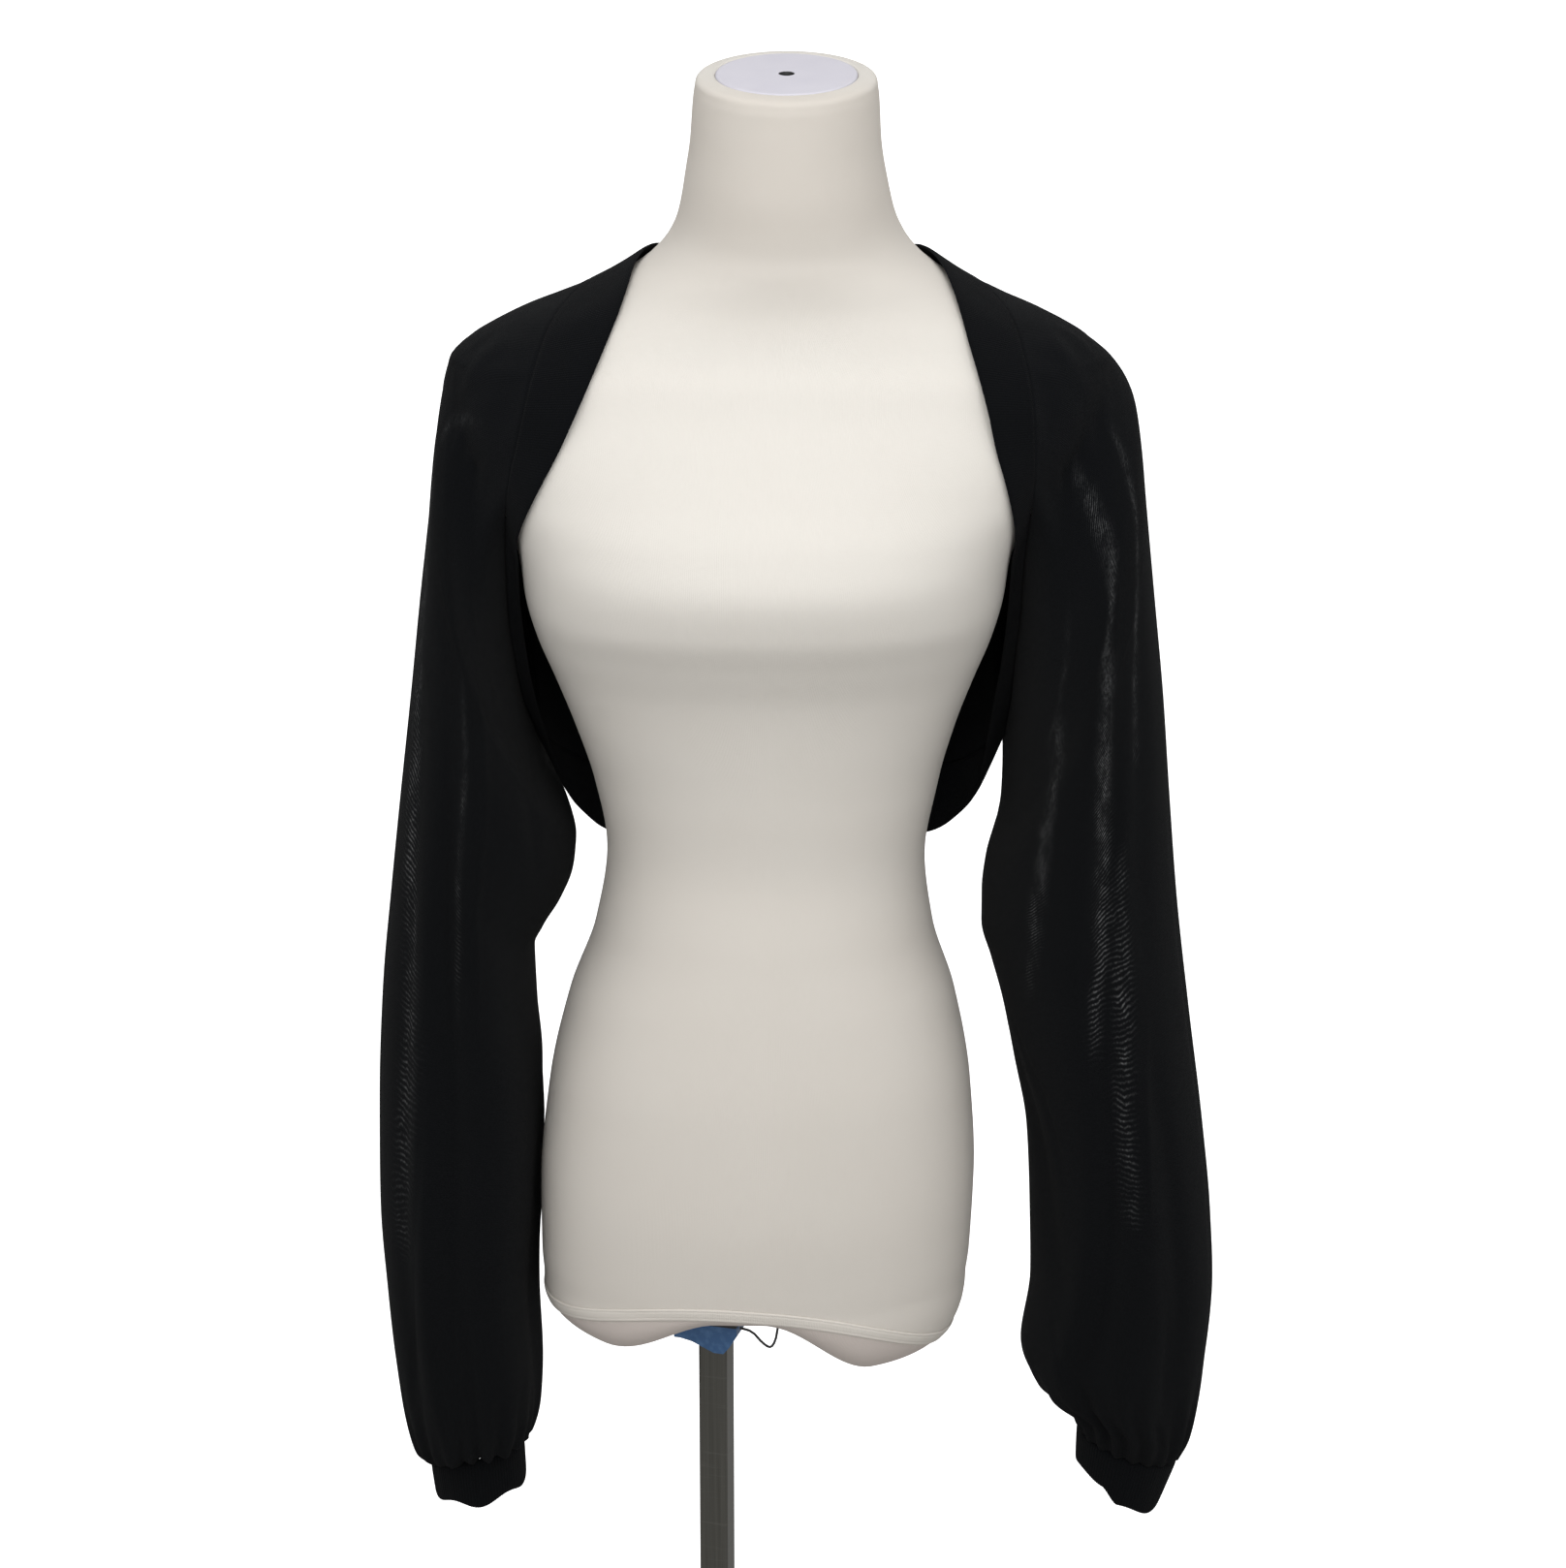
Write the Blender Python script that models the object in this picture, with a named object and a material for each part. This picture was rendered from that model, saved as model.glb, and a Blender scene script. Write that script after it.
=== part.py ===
"""Knitted shrug on a limbless dress form.

Metres, +Z up. The front faces -Y and the wearer's right is -X. The origin is
the middle of the base's underside. Heights are given as drops: how far a
point lies below the middle of the neck cap.
"""
import math

import bmesh
import bpy
import numpy as np

# Driving sizes
TOP_HEIGHT = 1.340
LEAN = 0.0262
PIVOT_X = 0.023
PIVOT_DROP = 0.760
# How far the torso's middle sways to one side. Columns: drop, sway
SWAY_ROWS = np.array([
    (0.00, 0.0), (0.045, 0.0007), (0.070, 0.0018), (0.092, 0.0026), (0.106, 0.0026),
    (0.125, 0.0012), (0.150, 0.0), (0.16, 0.0), (0.27, -0.005), (0.36, -0.003), (0.44, 0.0),
    (1.40, 0.0),
])

KNIT = 0.0014
BAND_WALL = 0.0024
SEAM_GAP = 0.0005
FOLDED_SEAM = 1.2
VALLEY_BEND = 0.5
SKIN_GAP = 0.0021
SHOULDER_GAP = 0.0024
DRAPE_GAP = 0.0016
FIT_GAP = 0.0003

# The form's level sections, in its own upright frame. A section has a front
# depth and a back depth, both from its middle, and tips down at the front.
# Columns: drop, half_width, front, back, squareness, middle_y, tip
FORM_SECTIONS = np.array([
    (0.000, 0.0480, 0.0480, 0.0480, 2.0, -0.020, 0.15),
    (0.0045, 0.0507, 0.0507, 0.0507, 2.0, -0.020, 0.15),
    (0.012, 0.0517, 0.0517, 0.0517, 2.0, -0.019, 0.15),
    (0.034, 0.0532, 0.0540, 0.0545, 2.0, -0.016, 0.15),
    (0.056, 0.0566, 0.0570, 0.0565, 2.0, -0.012, 0.13),
    (0.077, 0.0610, 0.0600, 0.0575, 2.0, -0.006, 0.10),
    (0.090, 0.0668, 0.0620, 0.0580, 2.0, -0.002, 0.08),
    (0.101, 0.0757, 0.0640, 0.0585, 2.0, 0.000, 0.06),
    (0.112, 0.0900, 0.0650, 0.0590, 2.1, 0.002, 0.04),
    (0.125, 0.1135, 0.0655, 0.0610, 2.1, 0.003, 0.02),
    (0.1390, 0.1465, 0.0680, 0.0660, 2.2, 0.003, 0.00),
    (0.1520, 0.1710, 0.0720, 0.0715, 2.3, 0.003, 0.00),
    (0.1640, 0.1840, 0.0770, 0.0770, 2.4, 0.002, 0.00),
    (0.181, 0.1870, 0.0830, 0.0820, 2.4, 0.001, 0.00),
    (0.200, 0.1830, 0.0920, 0.0860, 2.4, 0.000, 0.00),
    (0.225, 0.1670, 0.1060, 0.0890, 2.4, 0.000, 0.00),
    (0.250, 0.1490, 0.1200, 0.0890, 2.5, 0.000, 0.00),
    (0.272, 0.1415, 0.1260, 0.0880, 2.5, 0.000, 0.00),
    (0.297, 0.1378, 0.1200, 0.0850, 2.5, 0.000, 0.00),
    (0.320, 0.1320, 0.1060, 0.0820, 2.4, 0.000, 0.00),
    (0.345, 0.1225, 0.0920, 0.0790, 2.3, 0.000, 0.00),
    (0.375, 0.1115, 0.0830, 0.0750, 2.2, 0.000, 0.00),
    (0.411, 0.1010, 0.0760, 0.0700, 2.1, 0.000, 0.00),
    (0.455, 0.0938, 0.0710, 0.0660, 2.1, 0.000, 0.00),
    (0.500, 0.1000, 0.0770, 0.0760, 2.1, 0.000, 0.00),
    (0.545, 0.1150, 0.0840, 0.0930, 2.2, 0.000, 0.00),
    (0.600, 0.1262, 0.0900, 0.1060, 2.3, 0.000, 0.00),
    (0.660, 0.1308, 0.0920, 0.1090, 2.3, 0.000, 0.00),
    (0.705, 0.1300, 0.0890, 0.1020, 2.3, 0.000, 0.00),
    (0.752, 0.1240, 0.0830, 0.0900, 2.3, 0.000, 0.00),
])
FORM_SIDES = 36
LAST_LEVEL_DROP = 0.690
RIM_DROP = 0.722
LOBE_DROP = 0.7703
LOBE_TILT = 0.078
LOBE_SQUARENESS = 4.2
LOBE_ROUND = 2.7
LOBE_MIDDLE = -0.0088
LOBE_START = 0.0132
LOBE_RUN = 0.0676
VALLEY_DROP = 0.7405
VALLEY_ROUND = 1.2
UNDERSIDE_RINGS = 9
# The cover's hem: how low its upper edge lies, tilted and lifted front and back
HEM_TOP_DROP = 0.742
HEM_TILT = 0.085
HEM_LIFT = 0.0265
HEM_LIFT_REACH = 0.087
HEM_LIFT_POWER = 3.3
HEM_DEPTH = 0.008
HEM_SPANS = 4
HEM_GAP = 0.0013
HEM_WALL = 0.0011

# Levels of the form's rings: first drop, last drop, count
LEVEL_RUNS = (
    (0.0, 0.0045, 2), (0.012, 0.077, 5), (0.086, 0.200, 11), (0.212, 0.345, 11),
    (0.375, LAST_LEVEL_DROP, 8),
)
HEM_EDGE_SHARE = 0.6

# The neck's top edge, rolled over to the cap that is let into it
CAP_RADIUS = 0.0394
CAP_RECESS = 0.0008
CAP_THICKNESS = 0.0026
CAP_HOLE_RADIUS = 0.0043
CAP_HOLE_DEPTH = 0.0120
# Columns: radius, depth below the neck's top
LIP_ROWS = ((0.0412, -0.0018), (0.0452, -0.0012))
LIP_EDGE = -0.0014
ROUND_SIDES = 36

# The opening's band, from the middle of the back neck over the shoulder, down
# the front and under the arm to the middle of the back hem. "free" is its
# open edge and "seam" is sewn to the panel or sleeve. The opening sits a
# little towards the wearer's left: "free_shift" moves its free edge that way
# on both sides, and "left_extra" lets the left side stand further out.
# Columns: free_x, free_y, free_drop, seam_x, seam_y, seam_drop, free_shift, left_extra
BAND_ROWS = np.array([
    (0.000, 0.066, 0.118, 0.000, 0.084, 0.158, 0.000, 0.000),
    (0.045, 0.060, 0.115, 0.058, 0.082, 0.153, 0.000, 0.000),
    (0.078, 0.012, 0.104, 0.111, 0.006, 0.124, 0.001, 0.000),
    (0.0912, -0.035, 0.122, 0.129, -0.037, 0.138, 0.0038, 0.002),
    (0.1045, -0.065, 0.153, 0.138, -0.061, 0.163, 0.0031, 0.0016),
    (0.119, -0.080, 0.192, 0.143, -0.070, 0.192, 0.0015, 0.001),
    (0.1297, -0.074, 0.228, 0.146, -0.069, 0.220, 0.0013, 0.000),
    (0.1373, -0.052, 0.262, 0.147, -0.056, 0.246, 0.000, 0.000),
    (0.140, -0.032, 0.295, 0.147, -0.042, 0.272, 0.000, 0.000),
    (0.138, -0.014, 0.330, 0.147, -0.028, 0.302, 0.000, 0.000),
    (0.134, 0.004, 0.366, 0.145, -0.014, 0.333, 0.000, 0.000),
    (0.128, 0.023, 0.402, 0.142, 0.004, 0.364, 0.000, 0.002),
    (0.120, 0.042, 0.436, 0.135, 0.026, 0.394, 0.000, 0.006),
    (0.099, 0.062, 0.464, 0.112, 0.055, 0.418, 0.000, 0.007),
    (0.055, 0.078, 0.477, 0.060, 0.078, 0.433, 0.000, 0.002),
    (0.000, 0.083, 0.480, 0.000, 0.084, 0.437, 0.000, 0.000),
])
SHOULDER_ROW = 2
UNDERARM_ROW = 12
BAND_SPANS = 3
HALF_ARMHOLE = 20
HALF_BACK = 7

# The back of the armhole, from underarm to shoulder
# Columns: x, y, drop
BACK_SEAM_ROWS = np.array([
    (0.139, 0.058, 0.360),
    (0.146, 0.080, 0.310),
    (0.148, 0.088, 0.260),
    (0.145, 0.088, 0.210),
    (0.134, 0.070, 0.160),
])

# How far behind the form's middle the back panel hangs
# Columns: drop, deep
BACK_DEPTH_ROWS = np.array([
    (0.120, 0.070), (0.160, 0.085), (0.210, 0.092), (0.270, 0.094), (0.350, 0.092), (0.440, 0.086),
])
BACK_ROUND_WIDTH = 0.185
BACK_SQUARENESS = 2.6
BACK_EDGE_FADE = 5

# Sleeve stations from the shoulder down to the cuff. "out" and "in" are a
# ring's outer and inner points, measured from the pole's axis. The front and
# back points lie midway, but "bow" further out, and "lift" higher.
# Columns: out, out_drop, in, in_drop, front_y, back_y, bow, lift
SLEEVE_RIGHT = np.array([
    (0.1140, 0.1385, 0.1000, 0.410, -0.058, 0.092, 0.026, 0.000),
    (0.1430, 0.1572, 0.0890, 0.432, -0.066, 0.092, 0.026, 0.000),
    (0.1550, 0.190, 0.0815, 0.451, -0.069, 0.088, 0.024, 0.000),
    (0.1612, 0.240, 0.0835, 0.470, -0.069, 0.082, 0.020, 0.000),
    (0.1690, 0.300, 0.0910, 0.488, -0.067, 0.077, 0.014, 0.000),
    (0.1762, 0.360, 0.1010, 0.504, -0.065, 0.073, 0.008, 0.000),
    (0.1838, 0.420, 0.1070, 0.519, -0.064, 0.070, 0.004, 0.000),
    (0.1911, 0.480, 0.1060, 0.553, -0.063, 0.068, 0.002, 0.000),
    (0.1977, 0.540, 0.1035, 0.588, -0.063, 0.066, 0.000, 0.000),
    (0.2018, 0.610, 0.1015, 0.632, -0.063, 0.065, 0.000, 0.000),
    (0.2032, 0.680, 0.1040, 0.686, -0.063, 0.064, 0.000, 0.000),
    (0.2006, 0.735, 0.1078, 0.737, -0.061, 0.062, 0.000, 0.000),
    (0.1970, 0.785, 0.1065, 0.784, -0.056, 0.058, 0.000, 0.000),
    (0.1920, 0.822, 0.1088, 0.816, -0.049, 0.051, 0.000, 0.000),
    (0.1848, 0.848, 0.1150, 0.836, -0.039, 0.041, 0.000, 0.002),
    (0.1775, 0.856, 0.1195, 0.841, -0.030, 0.032, 0.000, 0.006),
])
SLEEVE_LEFT = np.array([
    (0.1880, 0.1405, 0.1708, 0.411, -0.058, 0.092, 0.018, 0.000),
    (0.2260, 0.1605, 0.1699, 0.430, -0.066, 0.092, 0.016, 0.000),
    (0.2425, 0.188, 0.1668, 0.447, -0.069, 0.088, 0.018, 0.000),
    (0.2493, 0.240, 0.1610, 0.466, -0.069, 0.082, 0.017, 0.000),
    (0.2561, 0.300, 0.1590, 0.484, -0.067, 0.077, 0.014, 0.000),
    (0.2629, 0.360, 0.1590, 0.503, -0.065, 0.073, 0.010, 0.000),
    (0.2682, 0.420, 0.1648, 0.524, -0.064, 0.070, 0.005, 0.000),
    (0.2745, 0.485, 0.1720, 0.550, -0.063, 0.068, 0.002, 0.000),
    (0.2836, 0.555, 0.1797, 0.588, -0.063, 0.066, 0.000, 0.000),
    (0.2935, 0.625, 0.1880, 0.632, -0.063, 0.065, 0.000, 0.000),
    (0.3004, 0.685, 0.1908, 0.684, -0.063, 0.064, 0.000, 0.000),
    (0.3033, 0.735, 0.1920, 0.730, -0.061, 0.062, 0.000, 0.000),
    (0.3007, 0.780, 0.1870, 0.772, -0.057, 0.059, 0.000, 0.000),
    (0.2971, 0.812, 0.1958, 0.798, -0.050, 0.052, 0.000, 0.000),
    (0.2915, 0.838, 0.2165, 0.815, -0.042, 0.044, 0.000, 0.000),
    (0.2860, 0.852, 0.2230, 0.832, -0.033, 0.034, 0.000, 0.000),
])
RINGS_PER_SPAN = (3, 3, 3, 2, 1, 1, 1, 1, 1, 1, 1, 1, 1, 1, 1, 1)
FINE_STATION = 12
# Under the arm the sleeve hangs in front of the band's lower corner
OVERLAP_STATION = 5
OVERLAP_COLUMNS = 6
OVERLAP_REACH = 0.020
OVERLAP_ASIDE = 0.0025
# A sleeve's least gap from the form at its stations. Round the shoulder the
# wall lies within it, lower down the sleeve hangs beside the form.
SLEEVE_GAPS = ((0.0, 0.0042), (1.5, 0.0038), (5.0, 0.0038), (8.0, 0.0014), (16.0, 0.0014))

# Cuffs: the same ladder, at the lower edge
CUFF_RIGHT_END = (0.1750, 0.876, 0.1185, 0.868, -0.028, 0.030, 0.000, -0.002)
CUFF_LEFT_END = (0.2738, 0.886, 0.2225, 0.866, -0.031, 0.031, 0.000, 0.002)
CUFF_SPANS = 2
CUFF_WAVES = 5
# Wave of a cuff's lower edge. Columns: height, start in radians
CUFF_RIGHT_WAVE = (0.0021, 2.8)
CUFF_LEFT_WAVE = (0.0012, 0.6)
CUFF_LEFT_NOTCH = 0.0095
NOTCH_TURNS = (94, 118, 242, 266)

# Sleeve folds: a trough or ridge that runs from one turn round the sleeve to
# another, in degrees from its outer side towards the front, between stations
# Columns: top_turn, end_turn, top_station, end_station, width, height
FOLDS_RIGHT = (
    (82, 92, 3.0, 15.6, 13, -0.0070),
    (124, 126, 7.0, 15.4, 16, 0.0035),
    (66, 64, 7.0, 15.6, 10, 0.0025),
    (50, 47, 5.0, 15.6, 9, -0.0035),
    (160, 166, 8.5, 15.0, 12, -0.0040),
    (214, 232, 4.0, 15.4, 14, -0.0060),
    (262, 272, 6.0, 15.6, 12, -0.0050),
    (303, 306, 4.5, 15.4, 11, -0.0040),
)
FOLDS_LEFT = (
    (72, 122, 4.0, 15.6, 13, -0.0075),
    (62, 48, 8.5, 15.8, 9, -0.0040),
    (54, 58, 4.0, 8.5, 9, -0.0030),
    (168, 134, 8.5, 12.0, 9, -0.0030),
    (92, 146, 8.0, 15.4, 10, 0.0030),
    (218, 206, 4.5, 15.4, 14, -0.0060),
    (254, 262, 5.5, 15.6, 12, -0.0050),
    (306, 296, 4.0, 15.6, 12, -0.0045),
)
GATHERS = 20
GATHER_START = 12.6
GATHER_PEAK = 15.0
GATHER_HEIGHT = 0.0022
GATHER_END_SHARE = 0.6

# Stand
POLE_SIDE = 0.018
POLE_YAW = math.radians(-16)
POLE_TOP_DROP = 0.700
POLE_CORNER = 0.0018
FLANGE_TOP_DROP = 0.7412
FLANGE_DEPTH = 0.0163
FLANGE_SIDE = 0.036
SEAT_WIDTH = 0.0475
CUT_SPARE = 0.05
CLAMP_DEPTH = 0.030
# The bracket's outline from the front: across, and height above its top
CLAMP_OUTLINE = (
    (-0.0225, 0.0), (-0.0225, -0.0115), (-0.0185, -0.0115), (-0.0110, -0.0130),
    (0.0030, -0.0190), (0.0090, -0.0190), (0.0130, -0.0140), (0.0175, -0.0060), (0.0175, 0.0),
)
WIRE_RADIUS = 0.0008
# The wire's bends: x, y, and height above the bracket's top
WIRE_ROUTE = np.array([
    (0.0147, -0.0145, -0.0025), (0.0215, -0.0150, -0.0045), (0.0290, -0.0165, -0.0120),
    (0.0330, -0.0170, -0.0142), (0.0360, -0.0160, -0.0110), (0.0380, -0.0120, -0.0010),
    (0.0386, -0.0110, 0.0150),
])
WIRE_POINTS = 15
SOCKET_HEIGHT = 0.055
SOCKET_SIDE = 0.026
BASE_RADIUS = 0.165
BASE_THICKNESS = 0.006
BASE_EDGE = 0.0015


def smooth(knots, values, at):
    """Run a curve through values at knots, with no overshoot between them."""
    knots = np.asarray(knots, float)
    values = np.asarray(values, float)
    shape = values.shape[1:]
    table = values.reshape(len(knots), -1)
    step = np.diff(knots)[:, None]
    slope = np.diff(table, axis=0) / step
    tangent = np.empty_like(table)
    tangent[0] = slope[0]
    tangent[-1] = slope[-1]
    before, after = slope[:-1], slope[1:]
    same_way = before * after > 0
    total = np.where(same_way, before + after, 1.0)
    tangent[1:-1] = np.where(same_way, 2.0 * before * after / total, 0.0)
    at = np.asarray(at, float)
    span = np.clip(np.searchsorted(knots, at.ravel(), side="right") - 1, 0, len(knots) - 2)
    width = step[span]
    part = np.clip((at.ravel() - knots[span]) / step[span, 0], 0.0, 1.0)[:, None]
    start, end = table[span], table[span + 1]
    leave, arrive = tangent[span] * width, tangent[span + 1] * width
    rise = part * part * (3 - 2 * part)
    bend = part * (1 - part)
    result = start + (end - start) * rise + bend * ((1 - part) * leave - part * arrive)
    return result.reshape(at.shape + shape)


def ease(share):
    """Go from 0 to 1 with a soft start and end."""
    share = np.clip(share, 0.0, 1.0)
    return share * share * (3 - 2 * share)


def unit(vectors):
    """Scale vectors to length 1."""
    return vectors / np.maximum(np.linalg.norm(vectors, axis=-1, keepdims=True), 1e-9)


def spine(drop):
    """Give the torso's middle at a drop: it leans and sways to one side."""
    return PIVOT_X + LEAN * (PIVOT_DROP - drop) + smooth(SWAY_ROWS[:, 0], SWAY_ROWS[:, 1], drop)


def stand_up(points):
    """Place torso points (x, y, drop) in the world."""
    x = points[..., 0] + spine(points[..., 2])
    return np.stack([x, points[..., 1], TOP_HEIGHT - points[..., 2]], axis=-1)


def lay_back(points):
    """Turn world points into torso points (x, y, drop)."""
    drop = TOP_HEIGHT - points[..., 2]
    return np.stack([points[..., 0] - spine(drop), points[..., 1], drop], axis=-1)


def form_section(drop):
    """Read the form's section columns at a drop."""
    return smooth(FORM_SECTIONS[:, 0], FORM_SECTIONS[:, 1:], drop)


def form_level(points):
    """Say where torso points lie: below 1 inside the form, above 1 outside."""
    level_drop = points[..., 2]
    for _ in range(4):
        section = form_section(level_drop)
        level_drop = points[..., 2] + section[..., 5] * (points[..., 1] - section[..., 4])
    section = form_section(level_drop)
    half_width, front, back, squareness, middle, _ = np.moveaxis(section, -1, 0)
    depth = points[..., 1] - middle
    reach = np.where(depth < 0, front, back)
    across = (np.abs(points[..., 0]) / half_width) ** squareness
    along = (np.abs(depth) / reach) ** squareness
    return (across + along) ** (1.0 / squareness)


def clear_of_form(points, gap):
    """Move torso points that are too near the form straight out of it."""
    points = points.copy()
    probe = 0.0005
    for _ in range(6):
        level = form_level(points)
        slope = np.empty_like(points)
        for axis in range(3):
            shift = np.zeros(3)
            shift[axis] = probe
            slope[..., axis] = (form_level(points + shift) - form_level(points - shift)) / (2 * probe)
        steep = np.maximum(np.linalg.norm(slope, axis=-1), 1e-6)
        short = np.maximum(gap - (level - 1.0) / steep, 0.0)
        points += slope / steep[..., None] * np.minimum(short, 0.02)[..., None]
    return points


def clear_in_world(points, gap):
    """Do the same for points in the world."""
    return stand_up(clear_of_form(lay_back(points), gap))


def form_ring(drop):
    """Give one ring of the form's skin as torso points."""
    half_width, front, back, squareness, middle, tip = form_section(drop)
    turn = 2 * np.pi * np.arange(FORM_SIDES) / FORM_SIDES
    power = 2.0 / squareness
    x = half_width * np.sign(np.cos(turn)) * np.abs(np.cos(turn)) ** power
    reach = np.where(np.sin(turn) < 0, front, back)
    depth = reach * np.sign(np.sin(turn)) * np.abs(np.sin(turn)) ** power
    return np.stack([x, middle + depth, drop - tip * depth], axis=-1)


def underside_rings(rim):
    """Close the form below its rim with two round thigh stubs and a valley."""
    rings = []
    for step in range(1, UNDERSIDE_RINGS):
        swing = 0.5 * np.pi * step / UNDERSIDE_RINGS
        near = math.cos(swing)
        ring = rim.copy()
        ring[:, :2] *= near
        lobe = ease((np.abs(ring[:, 0] - LOBE_MIDDLE) - LOBE_START) / LOBE_RUN)
        deep = LOBE_DROP + LOBE_TILT * ring[:, 0]
        round_share = (1 - near ** LOBE_SQUARENESS) ** (1 / LOBE_ROUND)
        stub = (deep - rim[:, 2]) * round_share
        valley = (VALLEY_DROP - rim[:, 2]) * math.sin(swing) ** VALLEY_ROUND
        ring[:, 2] = rim[:, 2] + valley + (stub - valley) * lobe
        rings.append(ring)
    return rings


def surface_ring(rings, drops):
    """Find where each column of the form's rings first reaches a drop."""
    ring = np.empty((len(drops), 3))
    for column, drop in enumerate(drops):
        line = np.array([one[column] for one in rings])
        upper = int(np.argmax(line[1:, 2] >= drop))
        share = (drop - line[upper, 2]) / (line[upper + 1, 2] - line[upper, 2])
        ring[column] = line[upper] + (line[upper + 1] - line[upper]) * share
    return ring


def top_rings():
    """Round the neck's rim over into the cap's recess, with its screw hole."""
    edge = form_ring(0.0)
    middle = np.array([0.0, FORM_SECTIONS[0, 5], 0.0])
    tip = FORM_SECTIONS[0, 6]
    outer = FORM_SECTIONS[0, 1]
    rows = (
        (CAP_HOLE_RADIUS, CAP_RECESS + CAP_HOLE_DEPTH),
        (CAP_HOLE_RADIUS, CAP_RECESS),
        (CAP_RADIUS + FIT_GAP, CAP_RECESS),
        (CAP_RADIUS + FIT_GAP, LIP_EDGE),
    ) + LIP_ROWS
    rings = []
    for radius, sink in rows:
        ring = middle + (edge - middle) * (radius / outer)
        ring[:, 2] = -tip * (ring[:, 1] - middle[1]) + sink
        rings.append(ring)
    return rings


def add_object(name, mesh, material, smooth_angle=40):
    """Put a mesh in the scene as one named sub-part."""
    piece = bpy.data.objects.new(name, mesh)
    bpy.context.scene.collection.objects.link(piece)
    mesh.materials.append(material)
    mesh.shade_smooth()
    mesh.set_sharp_from_angle(angle=math.radians(smooth_angle))
    return piece


def mesh_from(name, points, faces):
    """Make a mesh whose faces all point outwards."""
    mesh = bpy.data.meshes.new(name)
    mesh.from_pydata([tuple(point) for point in points], [], faces)
    shape = bmesh.new()
    shape.from_mesh(mesh)
    bmesh.ops.recalc_face_normals(shape, faces=shape.faces)
    shape.to_mesh(mesh)
    shape.free()
    return mesh


def bridge(first, first_count, second, second_count):
    """Join two closed rings, the second with as many points or twice as many."""
    faces = []
    if first_count == second_count:
        for i in range(first_count):
            j = (i + 1) % first_count
            faces.append((first + i, first + j, second + j, second + i))
        return faces
    for i in range(first_count):
        j = (i + 1) % first_count
        near, half, far = 2 * i, 2 * i + 1, (2 * i + 2) % second_count
        faces.append((first + i, second + half, second + near))
        faces.append((first + i, first + j, second + half))
        faces.append((first + j, second + far, second + half))
    return faces


def tube_mesh(name, outer, inner):
    """Make a wall from rings of outer points and the same rings inside."""
    points, faces, starts = [], [], []
    for rings in (outer, inner):
        begin = []
        for ring in rings:
            begin.append(len(points))
            points.extend(ring)
        starts.append(begin)
        for k in range(len(rings) - 1):
            faces += bridge(begin[k], len(rings[k]), begin[k + 1], len(rings[k + 1]))
    for k in (0, len(outer) - 1):
        count = len(outer[k])
        faces += bridge(starts[0][k], count, starts[1][k], count)
    return mesh_from(name, points, faces)


def sheet_mesh(name, outer, inner):
    """Make a wall from a grid of outer points and the same grid inside."""
    rows, columns = outer.shape[:2]
    points = np.concatenate([outer.reshape(-1, 3), inner.reshape(-1, 3)])
    count = rows * columns
    faces = []
    for side in (0, count):
        for i in range(rows - 1):
            for j in range(columns - 1):
                corner = side + i * columns + j
                faces.append((corner, corner + 1, corner + columns + 1, corner + columns))
    top = [j for j in range(columns)]
    right = [i * columns + columns - 1 for i in range(1, rows)]
    bottom = [(rows - 1) * columns + j for j in range(columns - 2, -1, -1)]
    left = [i * columns for i in range(rows - 2, 0, -1)]
    edge = top + right + bottom + left
    for a, b in zip(edge, edge[1:] + edge[:1]):
        faces.append((a, b, b + count, a + count))
    return mesh_from(name, points, faces)


def closed_mesh(name, rings, top_point, bottom_point):
    """Make a solid from rings, with a point to close each end."""
    points, faces = [], []
    for ring in rings:
        points.extend(ring)
    count = len(rings[0])
    for k in range(len(rings) - 1):
        faces += bridge(k * count, count, (k + 1) * count, count)
    last = (len(rings) - 1) * count
    points += [top_point, bottom_point]
    for i in range(count):
        j = (i + 1) % count
        faces.append((i, j, len(points) - 2))
        faces.append((last + j, last + i, len(points) - 1))
    return mesh_from(name, points, faces)


def grid_normals(grid, closed):
    """Give each grid point's normal, to one side or the other."""
    down = np.gradient(grid, axis=0)
    if closed:
        across = np.roll(grid, -1, axis=1) - np.roll(grid, 1, axis=1)
    else:
        across = np.gradient(grid, axis=1)
    return unit(np.cross(down, across))


def outward(normals, grid, centre):
    """Turn all of a grid's normals so that most point away from a centre."""
    away = np.sum(normals * (grid - centre))
    return normals if away > 0 else -normals


def band_side(left):
    """Give one side's band rows, as torso points of free edge and seam."""
    sign = 1.0 if left else -1.0
    rows = BAND_ROWS.copy()
    extra = rows[:, 7] if left else 0.0
    free = np.stack([sign * (rows[:, 0] + extra) + rows[:, 6], rows[:, 1], rows[:, 2]], axis=-1)
    seam = np.stack([sign * (rows[:, 3] + extra), rows[:, 4], rows[:, 5]], axis=-1)
    return free, seam


def run_along(rows, spans):
    """Share points evenly along the curve through rows."""
    length = np.concatenate([[0.0], np.cumsum(np.linalg.norm(np.diff(rows, axis=0), axis=1))])
    return smooth(length, rows, np.linspace(0.0, length[-1], spans + 1))


def side_runs(left):
    """Give one side's band points from back neck to back hem: free, seam."""
    runs = []
    for rows in band_side(left):
        neck = run_along(rows[:SHOULDER_ROW + 1], HALF_BACK)
        front = run_along(rows[SHOULDER_ROW:UNDERARM_ROW + 1], HALF_ARMHOLE)
        hem = run_along(rows[UNDERARM_ROW:], HALF_BACK)
        runs.append(np.concatenate([neck[:-1], front, hem[1:]]))
    return runs


def opening_loops():
    """Give the whole opening's free edge and seam, each a closed loop."""
    right, left = side_runs(False), side_runs(True)
    loops = []
    for right_run, left_run in zip(right, left):
        loops.append(np.concatenate([right_run, left_run[::-1][1:-1]]))
    return loops


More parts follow.
